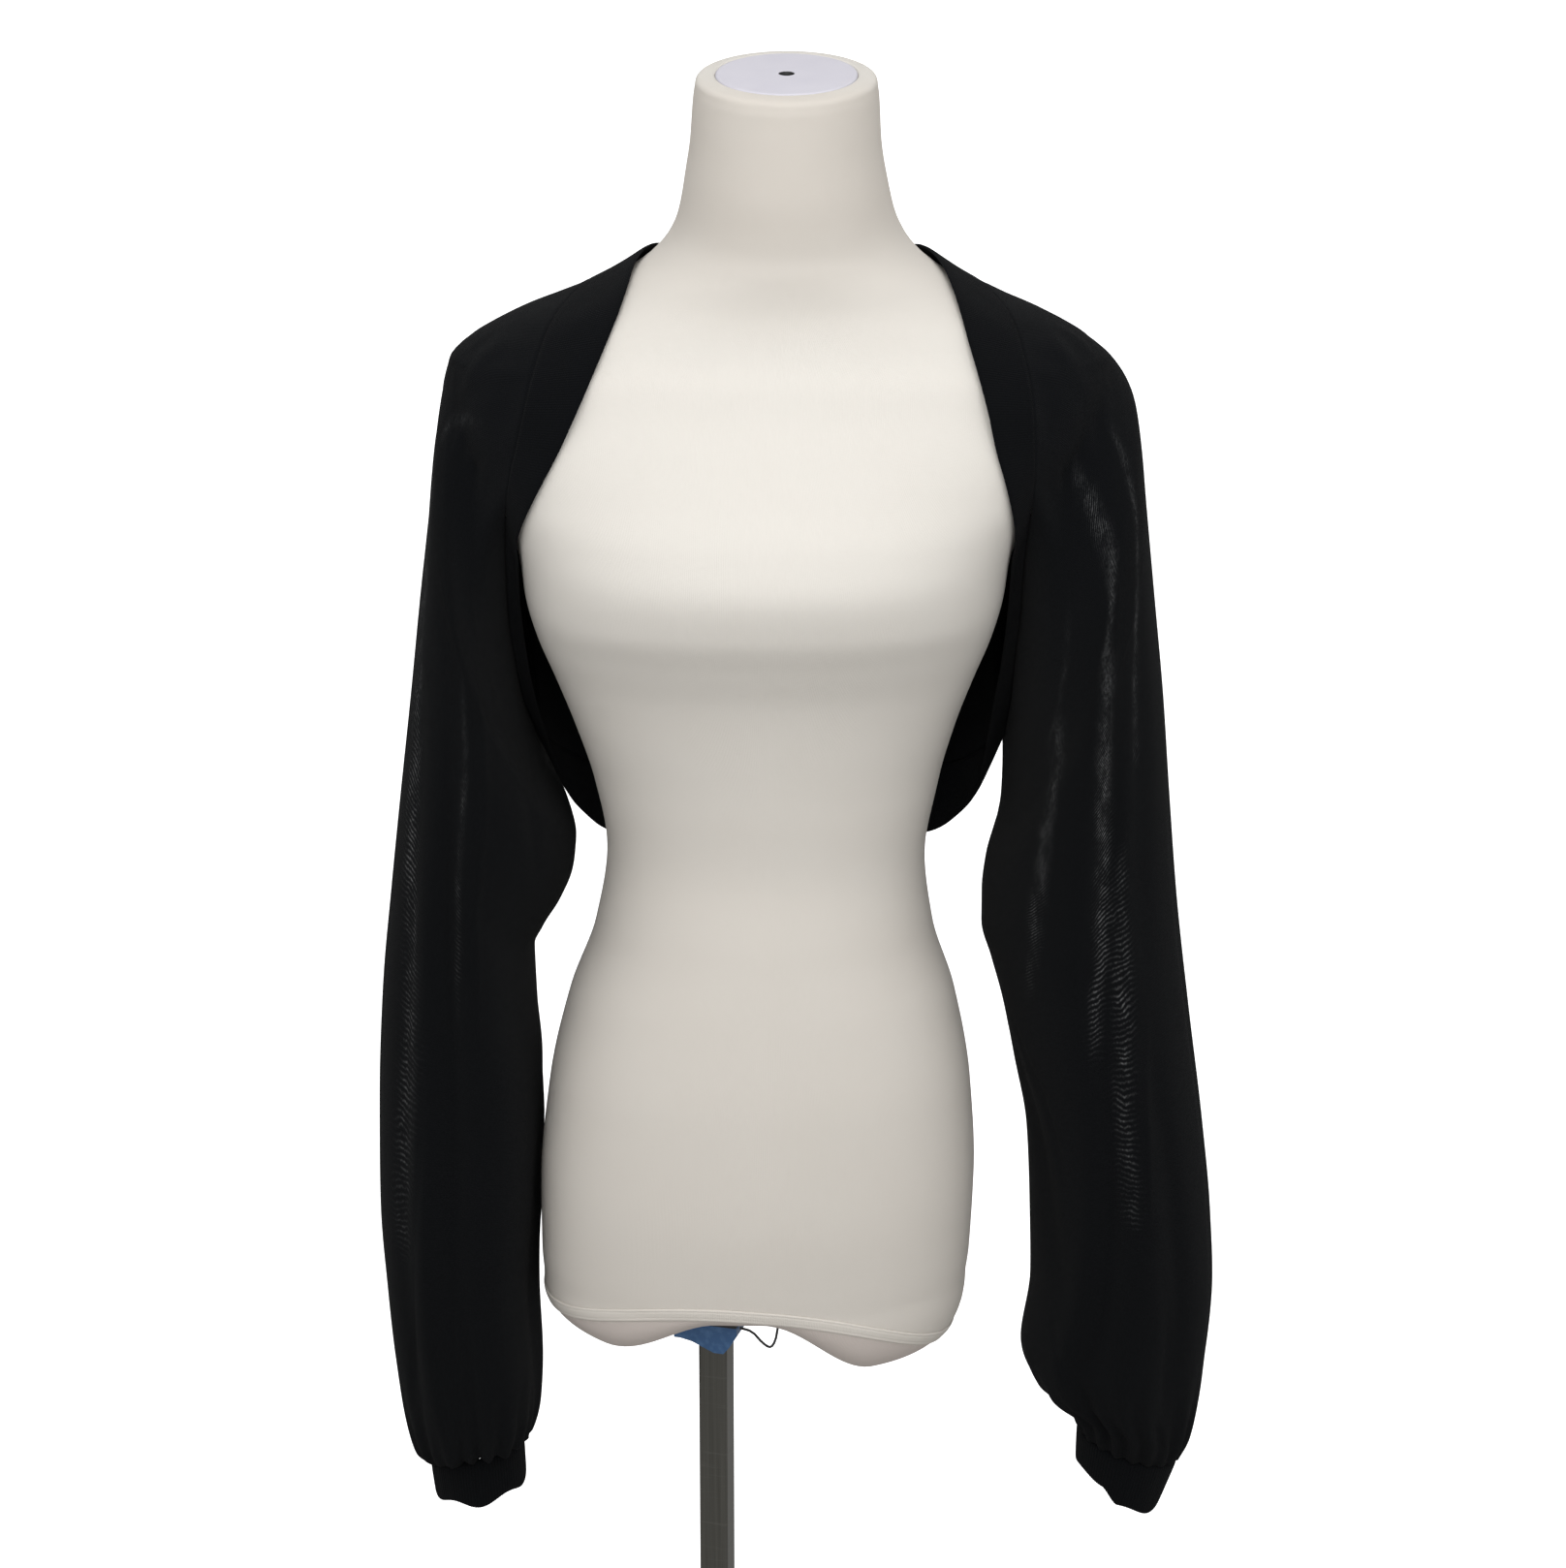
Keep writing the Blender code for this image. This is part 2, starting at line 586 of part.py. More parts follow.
def band_grid():
    """Lay the band's rows between its free edge and its seam."""
    free, seam = opening_loops()
    shares = np.linspace(0.0, 1.0, BAND_SPANS + 1)[:, None, None]
    grid = free + (seam - free) * shares
    return stand_up(clear_of_form(grid, BAND_WALL + SKIN_GAP))


def armhole(band, left):
    """Give one armhole ring, from the shoulder down the front and back up."""
    seam = band[-1]
    count = len(seam)
    start, stop = HALF_BACK, HALF_BACK + HALF_ARMHOLE
    if left:
        front = seam[[(count - i) % count for i in range(start, stop + 1)]]
    else:
        front = seam[start:stop + 1]
    sign = 1.0 if left else -1.0
    rows = stand_up(BACK_SEAM_ROWS * np.array([sign, 1.0, 1.0]))
    back = run_along(np.concatenate([front[-1:], rows, front[:1]]), HALF_ARMHOLE)
    back = clear_in_world(back, BAND_WALL + SKIN_GAP)
    return np.concatenate([front, back[1:-1]])


def ladder_ring(row, left, count):
    """Give a ring through its outer, front, inner and back points."""
    out_x, out_drop, in_x, in_drop, front_y, back_y, bow, lift = row
    sign = 1.0 if left else -1.0
    middle_y = 0.5 * (front_y + back_y)
    middle_x = 0.5 * (out_x + in_x) + bow
    middle_drop = 0.5 * (out_drop + in_drop)
    outer = np.array([sign * out_x, middle_y, TOP_HEIGHT - out_drop])
    inner = np.array([sign * in_x, middle_y, TOP_HEIGHT - in_drop])
    front = np.array([sign * middle_x, front_y, TOP_HEIGHT - middle_drop + lift])
    back = np.array([sign * middle_x, back_y, TOP_HEIGHT - middle_drop])
    turn = (2 * np.pi * np.arange(count) / count)[:, None]
    centre = (outer + front + inner + back) / 4
    wide = (outer - inner) / 2
    deep = (front - back) / 2
    bowed = (outer + inner - front - back) / 4
    return centre + wide * np.cos(turn) + deep * np.sin(turn) + bowed * np.cos(2 * turn)


def fold_height(station, turn, folds):
    """Add up the folds' heights at a station, round the given turns."""
    height = np.zeros_like(turn)
    for top_turn, end_turn, top_station, end_station, width, tall in folds:
        share = (station - top_station) / (end_station - top_station)
        if share <= 0 or share >= 1:
            continue
        middle = top_turn + (end_turn - top_turn) * share
        gap = (turn - middle + 180) % 360 - 180
        fade = math.sin(math.pi * share) ** 0.6
        height += tall * fade * np.exp(-((gap / width) ** 2))
    return height


def gather_height(station, turn):
    """Give the cuff gathers' height at a station, uneven round the sleeve."""
    if station <= GATHER_START:
        return np.zeros_like(turn)
    if station < GATHER_PEAK:
        share = float(ease((station - GATHER_START) / (GATHER_PEAK - GATHER_START)))
    else:
        share = 1 + (GATHER_END_SHARE - 1) * (station - GATHER_PEAK)
    angle = np.radians(turn)
    uneven = 0.75 + 0.25 * np.cos(3 * angle + 0.8)
    return GATHER_HEIGHT * share * uneven * np.cos(GATHERS * angle)


def sleeve_stations():
    """Give the station of every ring of a sleeve."""
    stations = [0.0]
    for span, rings in enumerate(RINGS_PER_SPAN):
        stations += [span + (k + 1) / rings for k in range(rings)]
    return np.array(stations)


def between(grid, parts):
    """Fill a grid with evenly spaced points between its own."""
    rows = np.linspace(0, len(grid) - 1, (len(grid) - 1) * parts + 1)
    columns = np.linspace(0, grid.shape[1] - 1, (grid.shape[1] - 1) * parts + 1)
    row, column = np.minimum(rows.astype(int), len(grid) - 2), columns.astype(int)
    column = np.minimum(column, grid.shape[1] - 2)
    down = (rows - row)[:, None, None]
    along = (columns - column)[None, :, None]
    top = grid[row][:, column] * (1 - along) + grid[row][:, column + 1] * along
    low = grid[row + 1][:, column] * (1 - along) + grid[row + 1][:, column + 1] * along
    return top * (1 - down) + low * down


def clear_of_band(points, band, normals, left):
    """Move the points of a sleeve that lie over or in the band off its face."""
    count = band.shape[1]
    turn = HALF_BACK + HALF_ARMHOLE
    columns = [i % count for i in range(turn - OVERLAP_COLUMNS, turn + OVERLAP_COLUMNS + 1)]
    if left:
        columns = [(count - i) % count for i in columns]
    face = between(band[:, columns], 6)[:-1].reshape(-1, 3)
    away = unit(between(normals[:, columns], 6))[:-1].reshape(-1, 3)
    for point in points.reshape(-1, 3):
        offset = point - face
        height = np.sum(offset * away, axis=-1)
        aside = np.linalg.norm(offset - height[:, None] * away, axis=-1)
        near = np.where(np.abs(height) < OVERLAP_REACH, aside, np.inf)
        best = int(np.argmin(near))
        if near[best] < OVERLAP_ASIDE and height[best] < DRAPE_GAP:
            point += away[best] * (DRAPE_GAP - height[best])
    return points


def base_sleeve(band, band_normals, left):
    """Give the sleeve's smooth rings, before folds, and their normals."""
    rows = SLEEVE_LEFT if left else SLEEVE_RIGHT
    coarse = 2 * HALF_ARMHOLE
    hole = armhole(band, left)
    knots = [hole] + [ladder_ring(row, left, coarse) for row in rows]
    stations = sleeve_stations()
    grid = smooth(range(len(knots)), np.array(knots), stations)
    gap = smooth(*zip(*SLEEVE_GAPS), stations[1:])
    cleared = clear_in_world(grid[1:], gap[:, None] * np.ones(coarse))
    low = stations[1:] < OVERLAP_STATION
    cleared[low] = clear_of_band(cleared[low], band, band_normals, left)
    grid = np.concatenate([grid[:1], cleared])
    normals = grid_normals(grid, True)
    normals = outward(normals, grid, grid.mean(axis=1, keepdims=True))
    return stations, grid, normals


def refine(ring):
    """Double a closed ring's points along a curve through them."""
    before = np.roll(ring, 1, axis=0)
    after = np.roll(ring, -1, axis=0)
    beyond = np.roll(ring, -2, axis=0)
    half = (9 * (ring + after) - before - beyond) / 16
    return np.stack([ring, half], axis=1).reshape(-1, 3)


def join(first, first_way, second, second_way):
    """Share one normal along a seam, save where its faces fold together.

    There each wall keeps its own normal, as the walls then lie apart, and
    the second is lifted off the first.
    """
    total = first + second
    bend = first_way + second_way
    folded = np.linalg.norm(total, axis=-1, keepdims=True) < FOLDED_SEAM
    folded |= np.sum(total * bend, axis=-1, keepdims=True) > VALLEY_BEND
    shared = unit(total)
    lift = np.where(folded, first * SEAM_GAP, 0.0)
    return np.where(folded, first, shared), np.where(folded, second, shared), lift


def pull_back(edge, neighbour):
    """Draw a sewn edge back from its seam."""
    return edge + unit(neighbour - edge) * (SEAM_GAP / 2)


def notch_share(turn):
    """Say how far a turn lies inside the left cuff's folded-up stretch."""
    rise_start, rise_end, fall_start, fall_end = NOTCH_TURNS
    rise = ease((turn - rise_start) / (rise_end - rise_start))
    fall = ease((turn - fall_start) / (fall_end - fall_start))
    return rise - fall


def cuff_rings(left):
    """Give a cuff's rings, from the gathers to its lower edge."""
    rows = SLEEVE_LEFT if left else SLEEVE_RIGHT
    end = CUFF_LEFT_END if left else CUFF_RIGHT_END
    count = 2 * HALF_ARMHOLE
    top = ladder_ring(rows[-1], left, count)
    low = ladder_ring(end, left, count)
    angle = 2 * np.pi * np.arange(count) / count
    height, start = CUFF_LEFT_WAVE if left else CUFF_RIGHT_WAVE
    low[:, 2] += height * np.sin(CUFF_WAVES * angle + start)
    if left:
        low[:, 2] += CUFF_LEFT_NOTCH * notch_share(np.degrees(angle))
    shares = np.linspace(0.0, 1.0, CUFF_SPANS + 1)[:, None, None]
    return top + (low - top) * shares


def make_cuff(name, left, material):
    """Make one cuff and return the normals that its gathers share."""
    grid = cuff_rings(left)
    normals = grid_normals(grid, True)
    normals = outward(normals, grid, grid.mean(axis=1, keepdims=True))
    axis = unit((grid[0] - grid[-1]).mean(axis=0))
    flat = unit(normals - np.sum(normals * axis, axis=-1, keepdims=True) * axis)
    outer = grid.copy()
    outer[0] = pull_back(grid[0], grid[1])
    inner = outer - flat * BAND_WALL
    mesh = tube_mesh(name, list(outer), list(inner))
    add_object(name, mesh, material)
    return flat[0]


def make_sleeve(name, base, left, seam, cuff_normals, material):
    """Make one sleeve: folds and gathers raised on its smooth rings."""
    stations, grid, normals = base
    normals = normals.copy()
    normals[0], lift = seam
    normals[-1] = cuff_normals
    folds = FOLDS_LEFT if left else FOLDS_RIGHT
    grid = grid.copy()
    grid[0] = pull_back(grid[0], grid[1]) + lift
    grid[-1] = pull_back(grid[-1], grid[-2])
    outer, inner = [], []
    for station, ring, normal in zip(stations, grid, normals):
        if station >= FINE_STATION:
            ring, normal = refine(ring), unit(refine(normal))
        turn = 360.0 * np.arange(len(ring)) / len(ring)
        height = fold_height(station, turn, folds) + gather_height(station, turn)
        ring = ring + normal * height[:, None]
        outer.append(ring)
        inner.append(ring - normal * KNIT)
    return add_object(name, tube_mesh(name, outer, inner), material)


def back_depth(points):
    """Say how far behind the middle the back panel hangs at torso points."""
    deep = smooth(BACK_DEPTH_ROWS[:, 0], BACK_DEPTH_ROWS[:, 1], points[..., 2])
    across = np.clip(np.abs(points[..., 0]) / BACK_ROUND_WIDTH, 0.0, 1.0)
    return deep * (1 - across ** BACK_SQUARENESS) ** (1 / BACK_SQUARENESS)


def patch(right, left, top, low, fade):
    """Fill a grid from its four edges, each fading out by its own power."""
    v = np.linspace(0.0, 1.0, len(right))[:, None, None]
    u = np.linspace(0.0, 1.0, len(top))[None, :, None]
    near_right, near_left = (1 - u) ** fade, u ** fade
    near_top, near_low = (1 - v) ** fade, v ** fade
    sides = near_right * right[:, None] + near_left * left[:, None]
    ends = near_top * top[None] + near_low * low[None]
    corners = near_top * (near_right * right[0] + near_left * left[0])
    corners = corners + near_low * (near_right * right[-1] + near_left * left[-1])
    return sides + ends - corners


def back_panel_grid(band, holes):
    """Hang the back panel between the armholes, the neck and the hem."""
    seam = band[-1]
    count = len(seam)
    ring = 2 * HALF_ARMHOLE
    down = [(ring - i) % ring for i in range(HALF_ARMHOLE + 1)]
    low = HALF_BACK + HALF_ARMHOLE
    edges = (
        holes[0][down], holes[1][down],
        seam[[i % count for i in range(HALF_BACK, -HALF_BACK - 1, -1)]],
        seam[low:low + 2 * HALF_BACK + 1],
    )
    edges = [lay_back(edge) for edge in edges]
    grid = patch(*edges, 1)
    rest = []
    for edge in edges:
        miss = np.zeros_like(edge)
        miss[:, 1] = edge[:, 1] - back_depth(edge)
        rest.append(miss)
    grid[..., 1] = back_depth(grid) + patch(*rest, BACK_EDGE_FADE)[..., 1]
    grid = stand_up(grid)
    grid[1:-1, 1:-1] = clear_in_world(grid[1:-1, 1:-1], KNIT + SHOULDER_GAP)
    normals = grid_normals(grid, False)
    return grid, normals if normals[..., 1].sum() > 0 else -normals


def make_back_panel(grid, normals, material):
    """Draw the panel's edges back from their seams and give it its wall."""
    outer = grid.copy()
    outer[0] = pull_back(grid[0], grid[1])
    outer[-1] = pull_back(grid[-1], grid[-2])
    sides = outer.copy()
    outer[:, 0] = pull_back(sides[:, 0], sides[:, 1])
    outer[:, -1] = pull_back(sides[:, -1], sides[:, -2])
    inner = outer - normals * KNIT
    return add_object("back_panel", sheet_mesh("back_panel", outer, inner), material)


def make_garment(knit, rib):
    """Make the six cloth pieces, each edge matched to the one it is sewn to."""
    band = band_grid()
    band_normals = grid_normals(band, True)
    flat = band - np.array([PIVOT_X, 0.0, 0.0])
    flat[..., 2] = 0.0
    if np.sum(band_normals * flat) < 0:
        band_normals = -band_normals
    bases = [base_sleeve(band, band_normals, left) for left in (False, True)]
    holes = [armhole(band, left) for left in (False, True)]
    back, back_normals = back_panel_grid(band, holes)

    count = band.shape[1]
    ring = 2 * HALF_ARMHOLE
    band_way = unit(band[-2] - band[-1])
    seams = []
    for base, left in zip(bases, (False, True)):
        sleeve_way = unit(base[1][1] - base[1][0])
        column, beside = (-1, -2) if left else (0, 1)
        back_way = unit(back[:, beside] - back[:, column])
        own, lift = base[2][0].copy(), np.zeros((ring, 3))
        places = [(count - HALF_BACK - i) % count if left else HALF_BACK + i
                  for i in range(HALF_ARMHOLE + 1)]
        down = list(range(HALF_ARMHOLE + 1))
        climb = [(ring - i) % ring for i in down]
        front = join(band_normals[-1][places], band_way[places], own[down], sleeve_way[down])
        rear = join(back_normals[:, column], back_way, own[climb], sleeve_way[climb])
        band_normals[-1][places], own[down], lift[down] = front
        back_normals[:, column], own[climb], lift[climb] = rear
        for end in (0, HALF_ARMHOLE):
            corner = unit(front[0][end] + rear[0][end])
            band_normals[-1][places[end]] = back_normals[end, column] = corner
            if not np.any(front[2][end]):
                own[end] = corner
        seams.append((own, lift))
    inside = slice(1, 2 * HALF_BACK)
    neck = [(HALF_BACK - j) % count for j in range(2 * HALF_BACK + 1)][inside]
    hem = [HALF_BACK + HALF_ARMHOLE + j for j in range(2 * HALF_BACK + 1)][inside]
    for row, beside, places in ((0, 1, neck), (-1, -2, hem)):
        way = unit(back[beside, inside] - back[row, inside])
        shared = join(band_normals[-1][places], band_way[places], back_normals[row, inside], way)
        band_normals[-1][places], back_normals[row, inside] = shared[:2]

    outer = band.copy()
    outer[-1] = pull_back(band[-1], band[-2])
    inner = outer - band_normals * BAND_WALL
    add_object("band", tube_mesh("band", list(outer), list(inner)), rib)
    make_back_panel(back, back_normals, knit)
    for side, left, tag in ((0, False, "r"), (1, True, "l")):
        cuff_normals = make_cuff("cuff_" + tag, left, rib)
        make_sleeve("sleeve_" + tag, bases[side], left, seams[side], cuff_normals, knit)


def make_form(cover, cap_finish):
    """Make the dress form, its cap and its cover's hem."""
    drops = np.concatenate([np.linspace(*run) for run in LEVEL_RUNS])
    rings = top_rings() + [form_ring(drop) for drop in drops]
    level = form_ring(LAST_LEVEL_DROP)
    rim = form_ring(RIM_DROP)
    low_rings = [level, form_ring(0.5 * (LAST_LEVEL_DROP + RIM_DROP)), rim] + underside_rings(rim)
    rings += low_rings[1:]
    cap_middle = np.array([0.0, FORM_SECTIONS[0, 5], CAP_RECESS + CAP_HOLE_DEPTH])
    underside_middle = np.array([0.0, 0.0, VALLEY_DROP])
    rings = [stand_up(ring) for ring in rings]
    ends = [stand_up(cap_middle), stand_up(underside_middle)]
    body = add_object("form_body", closed_mesh("form_body", rings, *ends), cover)

    low = TOP_HEIGHT - LOBE_DROP - CUT_SPARE
    pocket = square_prism("pole_pocket", POLE_SIDE + 2 * FIT_GAP, low,
                          TOP_HEIGHT - POLE_TOP_DROP + FIT_GAP)
    seat = square_prism("flange_seat", FLANGE_SIDE + 2 * FIT_GAP, low,
                        TOP_HEIGHT - FLANGE_TOP_DROP + FIT_GAP, width=SEAT_WIDTH)
    for cutter in (pocket, seat):
        cutter.hide_render = True
        cutter.display_type = "WIRE"
        cut = body.modifiers.new(cutter.name, "BOOLEAN")
        cut.object = cutter
        cut.solver = "EXACT"

    make_hem(low_rings, cover)
    make_cap(cap_finish)


def hem_drop(rim):
    """Say how low the hem's upper edge lies: highest at the front and back."""
    lift = np.minimum(np.abs(rim[:, 1]) / HEM_LIFT_REACH, 1.0) ** HEM_LIFT_POWER
    return HEM_TOP_DROP + HEM_TILT * rim[:, 0] - HEM_LIFT * lift


def make_hem(low_rings, cover):
    """Lay the cover's turned hem round the form and over its thigh stubs."""
    top = hem_drop(low_rings[2])
    shares = np.linspace(0.0, 1.0, HEM_SPANS + 1)
    grid = np.array([surface_ring(low_rings, top + HEM_DEPTH * share) for share in shares])
    grid = stand_up(grid)
    normals = outward(grid_normals(grid, True), grid, grid.mean(axis=(0, 1)))
    swell = HEM_EDGE_SHARE + (1 - HEM_EDGE_SHARE) * np.sin(np.pi * shares)
    inner = grid + normals * HEM_GAP
    outer = inner + normals * (HEM_WALL * swell)[:, None, None]
    add_object("cover_hem", tube_mesh("cover_hem", list(outer), list(inner)), cover)


def make_cap(finish):
    """Make the neck's disc, with a small hole in its middle."""
    middle_y = FORM_SECTIONS[0, 5]
    tip = FORM_SECTIONS[0, 6]
    turn = 2 * np.pi * np.arange(ROUND_SIDES) / ROUND_SIDES
    outer, inner = [], []
    for sink in (CAP_RECESS - FIT_GAP, CAP_RECESS - FIT_GAP - CAP_THICKNESS):
        for radius, rings in ((CAP_RADIUS, outer), (CAP_HOLE_RADIUS, inner)):
            y = radius * np.sin(turn)
            ring = np.stack([radius * np.cos(turn), middle_y + y, sink - tip * y], axis=-1)
            rings.append(stand_up(ring))
    add_object("neck_cap", tube_mesh("neck_cap", outer, inner), finish)


def square_prism(name, side, low, high, corner=0.0, width=None):
    """Make an upright bar on the pole's axis, turned as the pole is."""
    shape = bmesh.new()
    bmesh.ops.create_cube(shape, size=1.0)
    for vert in shape.verts:
        vert.co.x *= width or side
        vert.co.y *= side
        vert.co.z = high if vert.co.z > 0 else low
    if corner:
        upright = [edge for edge in shape.edges
                   if abs(edge.verts[0].co.z - edge.verts[1].co.z) > 0.5 * (high - low)]
        bmesh.ops.bevel(shape, geom=upright, offset=corner, segments=2, affect="EDGES", profile=0.5)
    mesh = bpy.data.meshes.new(name)
    shape.to_mesh(mesh)
    shape.free()
    bar = bpy.data.objects.new(name, mesh)
    bpy.context.scene.collection.objects.link(bar)
    bar.rotation_euler[2] = POLE_YAW
    return bar


def cut_bore(piece, side, low, high):
    """Cut a square bore for the pole through a piece."""
    bore = square_prism(piece.name + "_bore", side, low, high)
    bore.hide_render = True
    bore.display_type = "WIRE"
    cut = piece.modifiers.new("bore", "BOOLEAN")
    cut.object = bore
    cut.solver = "EXACT"


def give_finish(piece, finish):
    """Give a piece its material and flat faces."""
    piece.data.materials.append(finish)


def make_clamp(blue):
    """Make the bracket under the flange, its lower edge rising to one side."""
    top = TOP_HEIGHT - FLANGE_TOP_DROP - FLANGE_DEPTH - FIT_GAP
    depths = (-CLAMP_DEPTH / 2, CLAMP_DEPTH / 2)
    points = [(x, y, top + z) for y in depths for x, z in CLAMP_OUTLINE]
    count = len(CLAMP_OUTLINE)
    faces = [tuple(range(count)), tuple(range(2 * count - 1, count - 1, -1))]
    faces += [(i, (i + 1) % count, count + (i + 1) % count, count + i) for i in range(count)]
    clamp = bpy.data.objects.new("pole_clamp", mesh_from("pole_clamp", points, faces))
    bpy.context.scene.collection.objects.link(clamp)
    clamp.rotation_euler[2] = POLE_YAW
    give_finish(clamp, blue)
    cut_bore(clamp, POLE_SIDE + 2 * FIT_GAP, top - CUT_SPARE, top + CUT_SPARE)


def make_wire(steel):
    """Bend the clamp's wire out to one side, down and back up."""
    top = TOP_HEIGHT - FLANGE_TOP_DROP - FLANGE_DEPTH - FIT_GAP
    curve = bpy.data.curves.new("clamp_wire", "CURVE")
    curve.dimensions = "3D"
    curve.bevel_depth = WIRE_RADIUS
    curve.bevel_resolution = 1
    curve.use_fill_caps = True
    spline = curve.splines.new("POLY")
    last = len(WIRE_ROUTE) - 1
    points = smooth(np.arange(last + 1), WIRE_ROUTE, np.linspace(0, last, WIRE_POINTS))
    spline.points.add(len(points) - 1)
    for point, (x, y, z) in zip(spline.points, points):
        point.co = (x, y, top + z, 1.0)
    wire = bpy.data.objects.new("clamp_wire", curve)
    bpy.context.scene.collection.objects.link(wire)
    curve.materials.append(steel)


def make_stand(steel, dark, blue, iron):
    """Make the pole, what locks the form to it, and the plain base."""
    pole_top = TOP_HEIGHT - POLE_TOP_DROP
    pole = square_prism("pole", POLE_SIDE, BASE_THICKNESS + FIT_GAP, pole_top, POLE_CORNER)
    give_finish(pole, steel)

    flange_top = TOP_HEIGHT - FLANGE_TOP_DROP
    flange = square_prism("pole_flange", FLANGE_SIDE, flange_top - FLANGE_DEPTH, flange_top)
    give_finish(flange, dark)
    cut_bore(flange, POLE_SIDE + 2 * FIT_GAP, flange_top - CUT_SPARE, flange_top + CUT_SPARE)
    make_clamp(blue)
    make_wire(dark)

    low = BASE_THICKNESS + FIT_GAP
    socket = square_prism("base_socket", SOCKET_SIDE, low, low + SOCKET_HEIGHT, POLE_CORNER)
    give_finish(socket, iron)
    cut_bore(socket, POLE_SIDE + 2 * FIT_GAP, -CUT_SPARE, low + SOCKET_HEIGHT + CUT_SPARE)

    turn = 2 * np.pi * np.arange(ROUND_SIDES) / ROUND_SIDES
    circle = np.stack([np.cos(turn), np.sin(turn), np.zeros(ROUND_SIDES)], axis=-1)
    rings = []
    for radius, height in (
        (BASE_RADIUS - BASE_EDGE, BASE_THICKNESS), (BASE_RADIUS, BASE_THICKNESS - BASE_EDGE),
        (BASE_RADIUS, 0.0),
    ):
        rings.append(circle * radius + np.array([0.0, 0.0, height]))
    ends = [np.array([0.0, 0.0, BASE_THICKNESS]), np.array([0.0, 0.0, 0.0])]
    add_object("base_plate", closed_mesh("base_plate", rings, *ends), iron)


def finish(name, colour, roughness, metallic=0.0):
    """Make a plain material."""
    material = bpy.data.materials.new(name)
    material.use_nodes = True
    shader = material.node_tree.nodes["Principled BSDF"]
    shader.inputs["Base Color"].default_value = (*colour, 1.0)
    shader.inputs["Roughness"].default_value = roughness
    shader.inputs["Metallic"].default_value = metallic
    return material


def main():
    """Clear the scene and build every sub-part."""
    for old in list(bpy.data.objects):
        bpy.data.objects.remove(old)
    knit = finish("black_knit", (0.006, 0.007, 0.008), 0.9)
    rib = finish("black_rib", (0.005, 0.006, 0.007), 0.9)
    cover = finish("cream_cover", (0.72, 0.69, 0.64), 0.8)
    cap = finish("cap_plastic", (0.78, 0.76, 0.84), 0.35)
    steel = finish("brushed_steel", (0.20, 0.19, 0.17), 0.35, 1.0)
    dark = finish("dark_steel", (0.03, 0.03, 0.03), 0.4, 1.0)
    blue = finish("blue_plastic", (0.04, 0.10, 0.20), 0.45)
    iron = finish("base_paint", (0.05, 0.05, 0.05), 0.5)
    make_garment(knit, rib)
    make_form(cover, cap)
    make_stand(steel, dark, blue, iron)


main()
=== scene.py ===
# %% [markdown]
# # A knitted shrug on a dress form
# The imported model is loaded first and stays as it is. Every finer piece made
# here stands for one of its solids, in the same place and in metres: +Z is up,
# the front faces -Y and the wearer's right is at -X. Heights are given as
# drops below the middle of the neck cap, because the form is measured from its
# top down.

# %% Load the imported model
import math

import bmesh
import bpy
import numpy as np
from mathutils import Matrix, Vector


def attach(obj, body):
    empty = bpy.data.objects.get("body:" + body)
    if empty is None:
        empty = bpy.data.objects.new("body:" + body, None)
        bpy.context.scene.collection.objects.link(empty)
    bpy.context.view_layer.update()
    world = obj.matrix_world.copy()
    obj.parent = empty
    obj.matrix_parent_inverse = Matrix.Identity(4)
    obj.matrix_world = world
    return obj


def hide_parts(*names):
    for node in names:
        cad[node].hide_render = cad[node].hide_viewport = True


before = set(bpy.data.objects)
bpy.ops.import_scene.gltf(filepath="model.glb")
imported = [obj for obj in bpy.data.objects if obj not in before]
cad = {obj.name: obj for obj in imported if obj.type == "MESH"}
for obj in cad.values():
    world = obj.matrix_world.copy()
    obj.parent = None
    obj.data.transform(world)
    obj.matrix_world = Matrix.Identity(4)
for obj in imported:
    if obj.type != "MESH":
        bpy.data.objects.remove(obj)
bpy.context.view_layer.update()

# %% [markdown]
# ## Camera
# The object is about 1.3 m tall and was photographed from a little above the
# neck with a long lens. The camera comes first, so that every later choice can
# be judged from it.

# %% Camera at the photograph's angle
PHOTO_WIDTH = 1616
FOCAL_PIXELS = 4240
SENSOR = 36.0

lens = bpy.data.cameras.new("photo_view")
lens.sensor_fit = "HORIZONTAL"
lens.sensor_width = SENSOR
lens.lens = SENSOR * FOCAL_PIXELS / PHOTO_WIDTH
camera = bpy.data.objects.new("photo_view", lens)
camera.location = (0.041, -2.30, 1.662)
camera.rotation_euler = (math.radians(90 - 17.8), 0.0, 0.0)
bpy.context.scene.collection.objects.link(camera)
bpy.context.scene.camera = camera
print("lens in mm:", round(lens.lens, 1))

# %% [markdown]
# ## Curves through measured rows
# Cloth and form are both described by short tables: a few rows of measured
# sizes, joined by smooth curves. One curve never overshoots its rows and is
# used down the body. The other is rounder and is used round it, to add points
# between those of a coarse ring.

